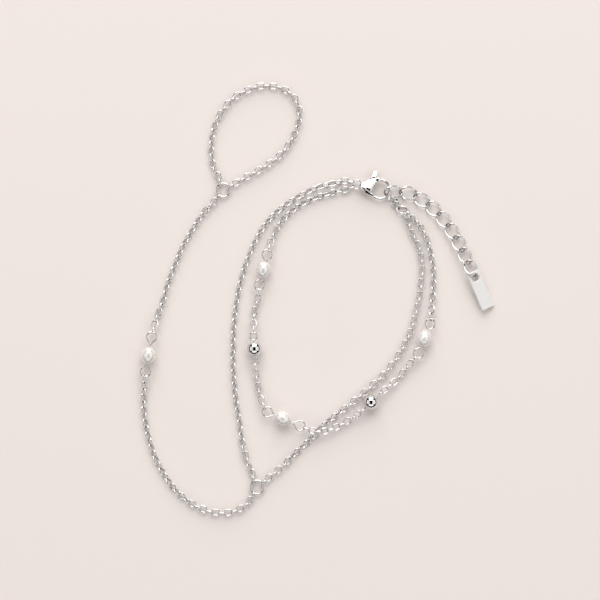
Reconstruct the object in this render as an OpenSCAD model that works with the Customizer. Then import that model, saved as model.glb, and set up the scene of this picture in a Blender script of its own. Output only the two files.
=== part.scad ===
// Hand chain bracelet, lying on a table. A finger loop and a hand chain with one pearl lead to a
// wrist bracelet of two strands, one plain and one with pearls and balls, on one lobster clasp
// with an extender and a small bar tag. Lengths are millimetres, angles are degrees, and the
// table is at height zero.

/* [Fine chain] */
// Wire diameter of a fine link
link_wire = 0.3; // [0.26:0.01:0.34]
// Outer width of a fine link
link_width = 1.6; // [1.45:0.05:1.7]
// Distance from one fine link to the next
link_pitch = 1.43; // [1.2:0.01:1.45]

/* [Rings] */
// Outer diameter of the finger ring and the palm ring
ring_diameter = 3.5; // [3.3:0.1:4.2]
// Wire diameter of the finger ring and the palm ring
ring_wire = 0.46; // [0.4:0.02:0.52]
// Outer diameter of the jump ring in the tail of the clasp
tail_ring_diameter = 2.3; // [2.2:0.05:2.5]
// Wire diameter of that jump ring
tail_ring_wire = 0.32; // [0.26:0.02:0.36]

/* [Pearls] */
// Length of a pearl along its hole
pearl_length = 3.9; // [3.4:0.1:4.4]
// Largest width of a pearl
pearl_width = 3.2; // [2.8:0.1:3.6]
// How much slimmer one end of a pearl is, as a share of its width
pearl_taper = 0.06; // [0:0.01:0.12]
// Outer diameter of the eyes beside a pearl
eye_diameter = 2.6; // [2.4:0.05:2.9]
// Wire diameter of the eyes beside a pearl
eye_wire = 0.38; // [0.34:0.02:0.44]
// Diameter of the pin through a pearl or a ball
pin_diameter = 0.3; // [0.2:0.02:0.32]
// Width of the double wire between an eye and its pearl
neck_width = 0.56; // [0.46:0.02:0.7]

/* [Balls] */
// Diameter of a polished ball
ball_diameter = 3.4; // [3:0.1:3.8]
// Outer diameter of the eyes beside a ball
ball_eye_diameter = 2; // [1.9:0.05:2.3]
// Wire diameter of the eyes beside a ball
ball_eye_wire = 0.34; // [0.32:0.01:0.38]
// Bare pin between a ball and its eyes
ball_neck = 0.1; // [0.05:0.05:0.4]

/* [Joining links] */
// Outer length of the oval links beside the pearls and the clasp
join_length = 2.5; // [2.4:0.05:2.9]
// Outer width of these oval links
join_width = 2.1; // [2:0.05:2.3]
// Wire diameter of these oval links
join_wire = 0.38; // [0.34:0.02:0.42]
// Outer length of the link that carries the two right strands
carrier_length = 2.9; // [2.7:0.05:3.3]

/* [Extender] */
// Outer length of an extender link
extender_length = 4.5; // [4.3:0.05:4.8]
// Outer width of an extender link
extender_width = 3.3; // [3.1:0.05:3.5]
// Wire diameter of an extender link
extender_wire = 0.43; // [0.38:0.01:0.48]
// How far the last extender links are pushed together
extender_slack = 0.3; // [0:0.05:0.4]
// Twist of an extender link from its middle to its end
extender_twist = 45; // [40:1:50]

/* [Tag] */
// Length of the bar tag
tag_length = 9; // [7:0.5:12]
// Width of the bar tag
tag_width = 3.1; // [2.9:0.1:3.6]
// Thickness of the bar tag
tag_thickness = 0.7; // [0.5:0.05:0.75]
// Diameter of the hole in the bar tag
tag_hole = 1.85; // [1.75:0.05:2]
// Metal between the hole and the end of the bar tag
tag_margin = 0.45; // [0.35:0.05:0.6]
// Corner radius of the bar tag
tag_corner = 0.3; // [0.1:0.05:0.6]

/* [Clasp] */
// Length of the clasp's cheek, from its tail to the root of the hook
cheek_length = 4.4; // [4.3:0.05:4.8]
// Width of the clasp's cheek
cheek_width = 3.8; // [3.7:0.05:4.1]
// Thickness of the clasp at the crown of its cheek
clasp_thickness = 2.2; // [2.1:0.05:2.5]
// Outer diameter of the hook
hook_diameter = 4.8; // [4.6:0.05:5]
// Wire diameter of the hook
hook_wire = 0.6; // [0.54:0.02:0.66]
// Thickness of the lever
lever_thickness = 0.7; // [0.6:0.05:0.8]
// Diameter of the rivet that the lever turns on
rivet_diameter = 0.5; // [0.4:0.02:0.56]
// Metal between the jump ring and the end of the clasp's tail
tail_margin = 0.2; // [0.16:0.02:0.26]

/* [Clearances] */
// Gap between the wires of two links that hold each other
link_clearance = 0.14; // [0.12:0.01:0.17]
// Gap between the wires of two extender links along the extender
extender_clearance = 0.21; // [0.18:0.01:0.24]
// Gap all round the jump ring in the tail of the clasp
tail_clearance = 0.08; // [0.06:0.01:0.1]
// Gap all round a pin in its bore
bore_clearance = 0.05; // [0.03:0.01:0.1]
// Gap between the lever and each side of its slot
slot_clearance = 0.1; // [0.08:0.01:0.15]

/* [Hidden] */
silver = [0.80, 0.80, 0.82];
bright_silver = [0.88, 0.88, 0.90];
pearl_white = [0.95, 0.93, 0.90];

// Curves are drawn with this many sides, and the sphere and cylinder surfaces stay true.
$fn = 48;

// Places on the table, each x and y, read from the photograph.
finger_ring_at = [-21.1, 24.6];
palm_ring_at = [-13.5, -42.2];
clasp_at = [9.4, 25.6];
clasp_heading = -12.7;

// Each pearl has x, y, heading, and the bare neck before and after it.
pearl_x = 0;
pearl_y = 1;
pearl_heading = 2;
pearl_neck = [3, 4];
pearls = [
    [-37.9, -12.6, -100, 1, 0.4],
    [-12.1, 6.6, -104.5, 0.3, 0.2],
    [-7.7, -26.7, -22.5, 0.5, 1],
    [24.1, -8.7, 68.5, 0.4, 0.25]
];
// Each ball has x, y, heading, and how its eyes are rolled.
ball_x = 0;
ball_y = 1;
ball_heading = 2;
ball_eye_roll = 3;
balls = [
    [-14.1, -11, -87, 0],
    [12.1, -23, 44, 90]
];

// Routes of the chains. Each row has x, y, the lift off the table and the roll of the links.
finger_loop_route = [
    [-22.1, 27.4, 0, -45], [-23.2, 29.8, 0, -45], [-23.7, 32.8, 0, -45], [-23.7, 35.6, 0, -45],
    [-23, 39, 0, -30], [-21.2, 42.5, 0, 0], [-18.7, 45.3, 0, 0], [-15.6, 47.1, 0, 0],
    [-13, 47.9, 0, 0], [-10.4, 48, 0, 0], [-7.9, 47.5, 0, 0], [-5.5, 45.8, 0, 0],
    [-4.2, 43.6, 0, 20], [-3.9, 41.2, 0, 30], [-4.7, 38, 0, 30], [-6.3, 34.9, 0, 0],
    [-8.9, 31.9, 0, 0], [-11.9, 29.8, 0, 0], [-15, 28, 0, 0], [-17.9, 26.4, 0, 0]
];
hand_upper_route = [
    [-23.1, 22.1, 0, 0], [-25.7, 19.2, 0, 30], [-27.9, 15.8, 0, 45], [-30, 12.3, 0, 45],
    [-31.8, 8, 0, 45], [-33.5, 3.7, 0, 45], [-34.8, -1, 0, 45], [-35.9, -3.8, 0.1, 45], [-36.6, -6.1, 0.6, 45]
];
hand_lower_route = [
    [-38.9, -21, 0.25, 45], [-39, -23.9, 0, 45], [-38.3, -29, 0, 45], [-36.9, -34.2, 0, 45],
    [-34.3, -39.4, 0, 45], [-30.9, -43.7, 0, 30], [-26.8, -46.6, 0, 0], [-23.1, -47.8, 0, 0],
    [-20.1, -47.9, 0, 0], [-17.7, -47.2, 0, 0], [-15.7, -45.8, 0, 0]
];
plain_left_route = [
    [6.5, 26.7, 0.2, 20], [4.4, 26.3, 0, 45], [0.1, 25.2, 0, 45], [-4.2, 23.1, 0, 45], [-8, 20.5, 0, 45],
    [-11.1, 17.5, 0, 45], [-13.5, 13.8, 0, 45], [-15.5, 9.3, 0, 45], [-17.1, 4.3, 0, 45],
    [-18.2, -1.5, 0, 45], [-18.8, -7.7, 0, 45], [-18.9, -13.6, 0, 45], [-18.6, -19.6, 0, 45],
    [-17.5, -27.3, 0, 45], [-16.1, -35.1, 0, 45], [-14.5, -39.2, 0, 0]
];
plain_right_route = [
    [-10.8, -40, 0, 0], [-8.6, -38.2, 0, 0], [-4.3, -34, 0, 30], [-1.2, -31.1, 0, 45],
    [1.2, -28.5, 0, 45], [5.1, -25.3, 0, 20], [8.9, -22.3, 0, 0], [14.8, -17, 0, 0],
    [18.2, -12.7, 0, 0], [20.8, -7.7, 0, 0], [22.4, -2.2, 0, 0], [23.4, 3.2, 0, 0],
    [23.6, 7.5, 0, 0], [23, 11.5, 0, 0], [21.4, 14.9, 0, 0]
];
bead_1_route = [
    [7.3, 25, 0.2, -45], [5.3, 24.5, 0, -45], [1.9, 23.6, 0, -45], [-2.4, 22, 0, -45], [-5.5, 20, 0, -45],
    [-8, 17.5, 0, -45], [-9.5, 15, 0.05, -45], [-10.5, 12.7, 0.35, -45]
];
bead_2_route = [
    [-13.4, 0, 0.45, 45], [-13.9, -1.9, 0.05, 45], [-14.2, -3.8, 0.1, 45], [-14.3, -5.8, 0.55, 45]
];
bead_3_route = [
    [-13.8, -16, 0.6, 45], [-13.5, -18.2, 0.15, 45], [-13.1, -20.2, 0.05, 45], [-12.6, -22.4, 0.35, 45]
];
bead_4_route = [
    [-1.7, -29.2, 1.05, 20], [0.3, -29.6, 1.3, 20], [2.3, -29.4, 1, 20], [4.3, -28.6, 0.5, 20],
    [6.3, -27.6, 0.3, 20], [8.3, -26.3, 0.6, 20]
];
bead_5_route = [
    [15.2, -20.2, 0.85, 45], [17.5, -18.3, 0.2, 45], [19.1, -16.6, 0.1, 45], [20.5, -14.9, 0.4, 45]
];
bead_6_route = [
    [25.8, -1, 0.25, 45], [26.1, 1.9, 0, 45], [26.2, 4.5, 0, 45], [26.1, 7.1, 0, 45],
    [25.7, 9.7, 0, 45], [25.1, 12, 0, 30], [24.3, 14.4, 0, 0], [23.2, 16.4, 0, 0]
];

// The extender's rows have x, y and the lift off the table, from the second link on.
extender_route = [
    [20.9, 23.8, 0.1], [24, 22.1, 0], [26.7, 19.9, 0], [28.9, 17.4, 0], [30.8, 14.6, 0],
    [32.3, 11.7, 0], [33.6, 9, 0], [35, 5.9, 0.1], [36.3, 2.4, 0.2]
];
extender_count = 9;
// Rolls that open the first link round the hook and the last link round the tag
extender_first_roll = 10;
extender_last_roll = -27;
// How many links it takes the first of these rolls to fade out
extender_opened = 3;

// How far the first extender link has slid back into the hook
hook_slack = 1.15;
// Where the first connector link hangs on the first extender link, as an angle round that link
connector_angle = -100;
// Each connector link has its step from the one before in x, y and height, as shares of the
// link's length, then its heading, its pitch and its roll. The third carries the right strands.
connectors = [
    [0.15, -0.14, 0.15, -5, -30, -20],
    [0.3, -0.5, -0.1, -55, -10, 40],
    [0.55, -0.4, -0.05, -10, -10, -25]
];
// Angles round the carrier at which it holds the plain strand and the beaded strand
carrier_plain_angle = -95;
carrier_bead_angle = -42;
// Rolls of the tail ring and of the oval links beside pearls 1 and 4
tail_ring_roll = 12;
// How far the tail ring's centre lies to the side of the clasp's own line
tail_ring_side = 0.15;
// Angles round the tail ring, from its far side, at which it holds the plain strand and the beads
tail_plain_angle = 24;
tail_bead_angle = -36;
hand_link_roll = 68;
bead_link_roll = 68;

// Outline of the clasp's cheek, as shares of its length and its width
cheek_outline = [
    [0, 0], [0.03, 0.14], [0.22, 0.33], [0.5, 0.56], [0.77, 0.7], [1, 0.69],
    [1, 0.55], [0.87, 0.43], [0.78, 0.25], [0.73, 0.03], [0.68, -0.2], [0.63, -0.29],
    [0.46, -0.22], [0.31, -0.2], [0.26, -0.29], [0.12, -0.22], [0.02, -0.1]
];
// Crown of the cheek and root of the hook, as the same shares
cheek_crown = [0.59, 0.24];
hook_root = [0.86, 0.54];
// Radius to which the cheek is domed, in crown thicknesses
dome_share = 2.2;
// Angles round the hook of its root, its end and the tip of the gate
hook_root_angle = 120;
hook_end_angle = 248;
gate_tip_angle = 234;
// Lever joints, as shares of the cheek's length and width
pivot_share = [0.43, 0];
heel_share = [0.41, -0.28];
elbow_share = [0.545, -0.27];
thumb_share = [0.64, 0.62];
thumb_tip_share = [0.68, 0.95];
slot_start_share = 0.295;
slot_end_share = 0.805;
// Radii of the lever's rounded parts
boss_radius = 0.52;
gate_radius = 0.33;
thumb_radius = 0.62;
thumb_tip_radius = 0.46;
rivet_share = 0.78;

samples = 12;
fine_step = 0.001;
// Stretch of chain over which its links turn to cross what they hold
roll_reach = 12;
wire_sides = 6;
oval_sides = 16;
tube_sides = 8;
tube_share = 0.72;
tube_spacing = 3;
tube_taper = 3.6;
tube_gap = 0.7;

// Vectors and curves
function unit(v) = v / norm(v);
function plan(angle) = [cos(angle), sin(angle), 0];
function flat_point(p, z) = [p.x, p.y, z];
function turned(p, angle) = [p.x * cos(angle) - p.y * sin(angle), p.x * sin(angle) + p.y * cos(angle)];

// Slope of the curve at b, where a and c are its neighbours, weighted by how near they are
function slope(a, b, c) =
    let (p = norm(b - a), q = norm(c - b))
    p == 0 ? (c - b) / q : q == 0 ? (b - a) / p : ((b - a) / p * q + (c - b) / q * p) / (p + q);
function hermite(b, c, m, n, f) =
    let (reach = norm(c - b), g = 1 - f)
    b * g * g * (1 + 2 * f) + c * f * f * (1 + 2 * g) + reach * f * g * (m * g - n * f);
function ease(f) = f * f * (3 - 2 * f);
function place_of(row) = [row[0], row[1], row[2]];

// A row of the smooth curve through the rows, at t counted in rows
function row_at(rows, t) =
    let (
        last = len(rows) - 1,
        i = min(floor(t), last - 1),
        f = t - i,
        a = place_of(rows[max(i - 1, 0)]),
        b = place_of(rows[i]),
        c = place_of(rows[i + 1]),
        d = place_of(rows[min(i + 2, last)]),
        place = hermite(b, c, slope(a, b, c), slope(b, c, d), f),
        roll = len(rows[i]) > 3 ? [rows[i][3] + (rows[i + 1][3] - rows[i][3]) * ease(f)] : []
    )
    concat([place.x, place.y, max(0, place.z)], roll);

// Height of a fine link's centre when the links, rolled by this much, lie on the table
function rest_height(roll) =
    link_wire / 2 + (link_width - link_wire) / 2 * max(abs(sin(roll)), abs(cos(roll)));
function strand_point(row) = [row[0], row[1], row[2] + rest_height(row[3])];

// Running length along a list of points, with the row count beside it
function length_table(points) = [
    for (i = 0, s = 0; i < len(points);
        s = s + (i + 1 < len(points) ? norm(points[i + 1] - points[i]) : 0), i = i + 1)
        [s, i / samples]
];
function last(list) = list[len(list) - 1];

// Square to a plane that holds the heading and is rolled about it from the level
function roll_normal(heading, roll) =
    let (side = unit(cross([0, 0, 1], heading)), up = cross(heading, side))
    cos(roll) * up - sin(roll) * side;
function normal_roll(heading, normal) =
    let (side = unit(cross([0, 0, 1], heading)), up = cross(heading, side))
    atan2(-normal * side, normal * up);

// What a chain end holds on to. It is a round of wire with a centre, a radius to the middle of
// its wire, a wire diameter and the direction square to it. Where it is held at one point of its
// wire, whatever the chain's direction, the run of the wire there comes last.
function holder(centre, radius, wire, normal) = [centre, radius, wire, normal];
function held_at(h, point, run) = [point, hold_gap(h[2]), h[2], h[3], run];
function hold_gap(wire) = (wire + link_wire) / 2 + link_clearance;
function hook_point(h, toward) =
    h[0] + (h[1] - hold_gap(h[2])) * unit(flat_point(toward, h[0].z) - h[0]);
function hold_roll(h, toward) =
    let (out = unit(flat_point(toward, 0) - flat_point(h[0], 0)), run = len(h) > 4 ? h[4] : cross(h[3], out))
    normal_roll(out, run) - 90;
function anchor_row(h, toward, roll) =
    let (p = hook_point(h, toward)) [p.x, p.y, max(0, p.z - rest_height(hold_roll(h, toward))), roll];

// Roll at a chain's first link, and at the last of n links, so that it crosses what it holds
function start_roll(h, toward, near) =
    let (roll = hold_roll(h, toward)) roll + 180 * round((near - roll) / 180);
function end_roll(h, toward, n, near) =
    let (roll = 90 * ((n + 1) % 2) - hold_roll(h, toward)) roll + 180 * round((near - roll) / 180);
function link_count(length) = max(2, round((length - link_wire - link_clearance) / link_pitch));

// A chain between two holders, as its rows, its length table, its number of links, its pitch and
// how far the rolls at its two ends differ from those of its route
function chain(start, route, end) =
    let (
        first_roll = route[0][3],
        last_roll = last(route)[3],
        rows = concat([anchor_row(start, route[0], first_roll)], route,
            [anchor_row(end, last(route), last_roll)]),
        table = length_table([for (i = [0:(len(rows) - 1) * samples])
            strand_point(row_at(rows, i / samples))]),
        length = last(table)[0],
        n = link_count(length)
    )
    [rows, table, n, (length - link_wire - link_clearance) / n,
        start_roll(start, route[0], first_roll) - first_roll,
        end_roll(end, last(route), n, last_roll) - last_roll];
function chain_row(c, s) =
    let (
        row = row_at(c[0], lookup(s, c[1])),
        length = last(c[1])[0],
        reach = min(length, roll_reach)
    )
    [row[0], row[1], row[2],
        row[3] + c[4] * max(0, 1 - s / reach) + c[5] * max(0, 1 - (length - s) / reach)];
function chain_point(c, s) = strand_point(chain_row(c, s));
// Rounded up to a fine step, so that a link's bends and its sides meet exactly
function chain_link_length(c) = ceil((c[3] + 2 * link_wire + link_clearance) / fine_step) * fine_step;
function chain_link_at(c, i) = (chain_link_length(c) - link_wire) / 2 + i * c[3];

// Places each child with its length along the heading and its width rolled from the level
module lie_along(place, heading, roll) {
    side = unit(cross([0, 0, 1], heading));
    up = cross(heading, side);
    across = cos(roll) * side + sin(roll) * up;
    normal = cross(heading, across);
    multmatrix([
        [heading.x, across.x, normal.x, place.x],
        [heading.y, across.y, normal.y, place.y],
        [heading.z, across.z, normal.z, place.z],
        [0, 0, 0, 1]
    ]) children();
}

// Wire forms
module round_wire(diameter, wire) {
    rotate_extrude()
        translate([(diameter - wire) / 2, 0])
            circle(d = wire);
}

module oval_link(length, width, wire) {
    bend = (width - wire) / 2;
    straight = length - width;
    for (end = [-1, 1])
        translate([end * straight / 2, 0, 0])
            rotate([0, 0, -90 * end])
                rotate_extrude(angle = 180)
                    translate([bend, 0])
                        circle(d = wire);
    for (side = [-1, 1])
        translate([0, side * bend, 0])
            rotate([0, 90, 0])
                cylinder(d = wire, h = straight, center = true);
}

module fine_chain(c) {
    color(silver)
        for (i = [0:c[2] - 1]) {
            s = chain_link_at(c, i);
            heading = unit(chain_point(c, s + c[3] / 2) - chain_point(c, s - c[3] / 2));
            lie_along(chain_point(c, s), heading, chain_row(c, s)[3] + 90 * (i + 1))
                oval_link(chain_link_length(c), link_width, link_wire);
        }
}

// A solid swept along rings of points, closed by flat ends or, for a loop, joined end to end
function sweep_faces(rings, sides, loop) = concat(
    [for (i = [0:rings - (loop ? 1 : 2)], k = [0:sides - 1])
        [i * sides + k, i * sides + (k + 1) % sides, ((i + 1) % rings) * sides + (k + 1) % sides]],
    [for (i = [0:rings - (loop ? 1 : 2)], k = [0:sides - 1])
        [i * sides + k, ((i + 1) % rings) * sides + (k + 1) % sides, ((i + 1) % rings) * sides + k]],
    loop ? [] : [
        [for (k = [sides - 1:-1:0]) k],
        [for (k = [0:sides - 1]) (rings - 1) * sides + k]
    ]
);
function ring_points(centre, heading, radius, sides) =
    let (side = unit(cross([0, 0, 1], heading)), up = cross(heading, side))
    [for (k = [0:sides - 1])
        centre + radius * (cos(k * 360 / sides) * side + sin(k * 360 / sides) * up)];

// The plain strands, each swept as one slim tube that follows its chain
tube_width = tube_share * link_width;
function tube_point(row) = [row[0], row[1], row[2] + tube_width / 2];
function tube_rows(start, route, end) =
    let (
        a = start[0] + (start[1] + start[2] / 2 + tube_gap)
            * unit(flat_point(route[0], start[0].z) - start[0]),
        b = end[0] + (end[1] + end[2] / 2 + tube_gap)
            * unit(flat_point(last(route), end[0].z) - end[0])
    )
    concat(
        [[a.x, a.y, max(0, a.z - tube_width / 2)]],
        [for (row = route) [row[0], row[1], row[2]]],
        [[b.x, b.y, max(0, b.z - tube_width / 2)]]
    );
module plain_chain(start, route, end) {
    rows = tube_rows(start, route, end);
    table = length_table([for (i = [0:(len(rows) - 1) * samples]) tube_point(row_at(rows, i / samples))]);
    length = last(table)[0];
    rings = ceil(length / tube_spacing) + 1;
    step = length / (rings - 1);
    function at(s) = tube_point(row_at(rows, lookup(min(max(s, 0), length), table)));
    points = [for (i = [0:rings - 1])
        let (
            s = i * step,
            slim = min(1, 0.5 + 0.5 * min(s, length - s) / tube_taper),
            heading = unit(at(s + step / 3) - at(s - step / 3))
        )
        each ring_points(at(s), heading, tube_width / 2 * slim, tube_sides)];
    color(silver)
        polyhedron(points, sweep_faces(rings, tube_sides, false), convexity = 4);
}

// Finger ring and palm ring lie in the chain ends that hold them up.
ring_height = rest_height(0) - link_clearance / 2;
ring_radius = (ring_diameter - ring_wire) / 2;
finger_holder = holder(flat_point(finger_ring_at, ring_height), ring_radius, ring_wire, [0, 0, 1]);
palm_holder = holder(flat_point(palm_ring_at, ring_height), ring_radius, ring_wire, [0, 0, 1]);

module finger_ring() {
    color(silver)
        translate(finger_holder[0])
            round_wire(ring_diameter, ring_wire);
}

module palm_ring() {
    color(silver)
        translate(palm_holder[0])
            round_wire(ring_diameter, ring_wire);
}

// Pearls and balls on their pins
function pearl_centre(i) = [pearls[i][pearl_x], pearls[i][pearl_y], pearl_width / 2];
function pearl_eye_reach(i, end) = pearl_length / 2 + pearls[i][pearl_neck[end]] + eye_diameter / 2;
function pearl_eye_holder(i, end) = holder(
    pearl_centre(i) + (2 * end - 1) * pearl_eye_reach(i, end) * plan(pearls[i][pearl_heading]),
    (eye_diameter - eye_wire) / 2, eye_wire, [0, 0, 1]);
function ball_centre(i) = [balls[i][ball_x], balls[i][ball_y], ball_diameter / 2];
ball_eye_reach = ball_diameter / 2 + ball_neck + ball_eye_diameter / 2;
function ball_eye_holder(i, end) = holder(
    ball_centre(i) + (2 * end - 1) * ball_eye_reach * plan(balls[i][ball_heading]),
    (ball_eye_diameter - ball_eye_wire) / 2, ball_eye_wire,
    roll_normal(plan(balls[i][ball_heading]), balls[i][ball_eye_roll]));

bore_radius = pin_diameter / 2 + bore_clearance;
// How far the neck runs into the eye's wire, as a share of that wire
neck_overlap = 0.4;

module pearl(i) {
    steps = 16;
    color(pearl_white)
        translate(pearl_centre(i))
            rotate([0, 90, pearls[i][pearl_heading]])
                rotate_extrude()
                    polygon(concat(
                        [[bore_radius, -pearl_length / 2]],
                        [for (k = [1:steps - 1])
                            let (a = k * 180 / steps)
                            [max(bore_radius, pearl_width / 2 * sin(a) * (1 + pearl_taper * cos(a))),
                                -pearl_length / 2 * cos(a)]],
                        [[bore_radius, pearl_length / 2]]
                    ));
}

module eye_pin(i) {
    color(silver)
        translate(pearl_centre(i))
            rotate([0, 0, pearls[i][pearl_heading]]) {
                for (end = [0, 1])
                    mirror([1 - end, 0, 0]) {
                        reach = pearl_eye_reach(i, end);
                        neck = pearls[i][pearl_neck[end]];
                        neck_start = pearl_length / 2 + bore_clearance;
                        translate([reach, 0, 0])
                            round_wire(eye_diameter, eye_wire);
                        rotate([0, 90, 0])
                            cylinder(d = pin_diameter, h = reach - (eye_diameter - eye_wire) / 2);
                        translate([neck_start, 0, 0])
                            rotate([0, 90, 0])
                                cylinder(d = neck_width, h = neck - bore_clearance + eye_wire * neck_overlap);
                    }
            }
}

module ball(i) {
    color(bright_silver)
        translate(ball_centre(i))
            difference() {
                sphere(d = ball_diameter);
                rotate([0, 90, balls[i][ball_heading]])
                    cylinder(r = bore_radius, h = ball_diameter + 1, center = true);
            }
}

module ball_pin(i) {
    reach = ball_eye_reach - (ball_eye_diameter - ball_eye_wire) / 2;
    color(silver)
        translate(ball_centre(i))
            rotate([0, 0, balls[i][ball_heading]])
                rotate([balls[i][ball_eye_roll], 0, 0]) {
                    for (end = [-1, 1])
                        translate([end * ball_eye_reach, 0, 0])
                            round_wire(ball_eye_diameter, ball_eye_wire);
                    rotate([0, 90, 0])
                        cylinder(d = pin_diameter, h = 2 * reach, center = true);
                }
}

// Oval links beside the pearls. Each hangs on a holder and heads towards a point of the chain.
join_half = (join_length - join_wire) / 2;
join_bend = (join_width - join_wire) / 2;
function join_centre(h, toward, drop) =
    let (
        aim = unit(flat_point(toward, h[0].z) - h[0]),
        reach = h[1] - (h[2] + join_wire) / 2 - link_clearance + join_half
    )
    h[0] + reach * [aim.x, aim.y, -drop];
function join_heading(h, toward, drop) =
    let (aim = unit(flat_point(toward, h[0].z) - h[0])) unit([aim.x, aim.y, -drop]);
function join_holder(centre, heading, length, roll) = holder(
    centre + (length - join_width) / 2 * heading, join_bend, join_wire, roll_normal(heading, roll));

join_drop = 0.08;
hand_link_centre = join_centre(pearl_eye_holder(0, 1), hand_lower_route[0], join_drop);
hand_link_heading = join_heading(pearl_eye_holder(0, 1), hand_lower_route[0], join_drop);
bead_link_centre = join_centre(pearl_eye_holder(3, 1), bead_6_route[0], join_drop);
bead_link_heading = join_heading(pearl_eye_holder(3, 1), bead_6_route[0], join_drop);

module hand_link() {
    color(silver)
        lie_along(hand_link_centre, hand_link_heading, hand_link_roll)
            oval_link(join_length, join_width, join_wire);
}

module bead_link() {
    color(silver)
        lie_along(bead_link_centre, bead_link_heading, bead_link_roll)
            oval_link(join_length, join_width, join_wire);
}

// Clasp. Its own frame runs from the tail towards the hook.
clasp_height = clasp_thickness / 2;
function cheek_place(share) = [share[0] * cheek_length, share[1] * cheek_width];
hook_radius = (hook_diameter - hook_wire) / 2;
hook_centre = cheek_place(hook_root) - hook_radius * [cos(hook_root_angle), sin(hook_root_angle)];
pivot = cheek_place(pivot_share);
slot_height = lever_thickness + 2 * slot_clearance;
function clasp_world(p) = flat_point(clasp_at + turned(p, clasp_heading), clasp_height);

// The closed smooth outline through a list of corners
function closed_outline(corners, steps) =
    let (n = len(corners))
    [for (i = [0:n - 1], k = [0:steps - 1])
        let (
            a = corners[(i + n - 1) % n],
            b = corners[i],
            c = corners[(i + 1) % n],
            d = corners[(i + 2) % n]
        )
        hermite(b, c, slope(a, b, c), slope(b, c, d), k / steps)];

module in_clasp_frame() {
    translate(flat_point(clasp_at, clasp_height))
        rotate([0, 0, clasp_heading])
            children();
}

module cheek() {
    dome = dome_share * clasp_thickness;
    crown = cheek_place(cheek_crown);
    intersection() {
        linear_extrude(clasp_thickness, center = true)
            polygon(closed_outline([for (share = cheek_outline) cheek_place(share)], 4));
        translate([crown.x, crown.y, clasp_thickness / 2 - dome])
            sphere(dome);
        translate([crown.x, crown.y, dome - clasp_thickness / 2])
            sphere(dome);
    }
}

module clasp_body() {
    hook_travel = 360 + hook_root_angle - hook_end_angle;
    color(bright_silver)
        in_clasp_frame()
            difference() {
                union() {
                    cheek();
                    translate([hook_centre.x, hook_centre.y, 0])
                        rotate([0, 0, hook_end_angle])
                            rotate_extrude(angle = hook_travel)
                                translate([hook_radius, 0])
                                    circle(d = hook_wire);
                }
                translate([slot_start_share * cheek_length, -cheek_width, -slot_height / 2])
                    cube([(slot_end_share - slot_start_share) * cheek_length, 3 * cheek_width, slot_height]);
                translate([pivot.x, pivot.y, 0])
                    cylinder(d = rivet_diameter + 2 * bore_clearance, h = 2 * clasp_thickness, center = true);
                translate([tail_ring_place.x, tail_ring_place.y, 0])
                    rotate([tail_ring_roll, 0, 0])
                        round_wire(tail_ring_diameter + 2 * tail_clearance,
                            tail_ring_wire + 2 * tail_clearance);
            }
}

module lever_arm(from, from_radius, to, to_radius) {
    linear_extrude(lever_thickness, center = true)
        hull() {
            translate(from)
                circle(from_radius, $fn = 32);
            translate(to)
                circle(to_radius, $fn = 32);
        }
}

module clasp_lever() {
    heel = cheek_place(heel_share);
    elbow = cheek_place(elbow_share);
    tip = hook_centre + hook_radius * [cos(gate_tip_angle), sin(gate_tip_angle)];
    thumb = cheek_place(thumb_share);
    thumb_tip = cheek_place(thumb_tip_share);
    color(bright_silver)
        in_clasp_frame()
            difference() {
                union() {
                    lever_arm(pivot, boss_radius, heel, gate_radius);
                    lever_arm(heel, gate_radius, tip, hook_wire / 2);
                    lever_arm(pivot, boss_radius, elbow, gate_radius);
                    lever_arm(pivot, boss_radius, thumb, thumb_radius);
                    lever_arm(thumb, thumb_radius, thumb_tip, thumb_tip_radius);
                }
                translate([pivot.x, pivot.y, 0])
                    cylinder(d = rivet_diameter + 2 * bore_clearance, h = 2 * lever_thickness, center = true);
            }
}

module clasp_rivet() {
    color(silver)
        in_clasp_frame()
            translate([pivot.x, pivot.y, 0])
                cylinder(d = rivet_diameter, h = rivet_share * clasp_thickness, center = true);
}

// The tail ring runs through its own curved bore in the tail, and its far side holds the strands.
tail_ring_radius = (tail_ring_diameter - tail_ring_wire) / 2;
tail_ring_place = [tail_margin + tail_clearance + tail_ring_wire / 2 - tail_ring_radius, tail_ring_side];
tail_ring_centre = clasp_world(tail_ring_place);
tail_holder = holder(tail_ring_centre, tail_ring_radius, tail_ring_wire,
    roll_normal(plan(clasp_heading), tail_ring_roll));
// Each strand hangs inside the tail ring, at an angle round it from its far side
function tail_hold(angle) =
    let (
        along = plan(clasp_heading),
        across = cos(tail_ring_roll) * cross([0, 0, 1], along) + [0, 0, sin(tail_ring_roll)],
        inner = tail_ring_radius - hold_gap(tail_ring_wire)
    )
    held_at(tail_holder, tail_ring_centre + inner * (sin(angle) * across - cos(angle) * along),
        sin(angle) * along + cos(angle) * across);

module tail_ring() {
    color(silver)
        lie_along(tail_ring_centre, plan(clasp_heading), tail_ring_roll)
            round_wire(tail_ring_diameter, tail_ring_wire);
}

// Extender. Each link is an oval whose two ends are twisted opposite ways.
extender_half = (extender_length - extender_wire) / 2;
extender_side = (extender_width - extender_wire) / 2;
function twisted_point(a) =
    let (y = extender_side * sin(a), t = -extender_twist * cos(a))
    [extender_half * cos(a), y * cos(t), y * sin(t)];
function rolled(p, roll) = [p.x, p.y * cos(roll) - p.z * sin(roll), p.y * sin(roll) + p.z * cos(roll)];
function extender_lie(roll) =
    extender_wire / 2 + max([for (a = [0:5:355]) rolled(twisted_point(a), roll).z]);
function extender_roll(i) =
    let (share = 2 * i / (extender_count - 1) - 1)
    extender_first_roll * max(0, 1 - i / extender_opened) + extender_last_roll * pow(max(0, share), 2);
extender_pitch = extender_length - 2 * extender_wire - extender_clearance;
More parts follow.
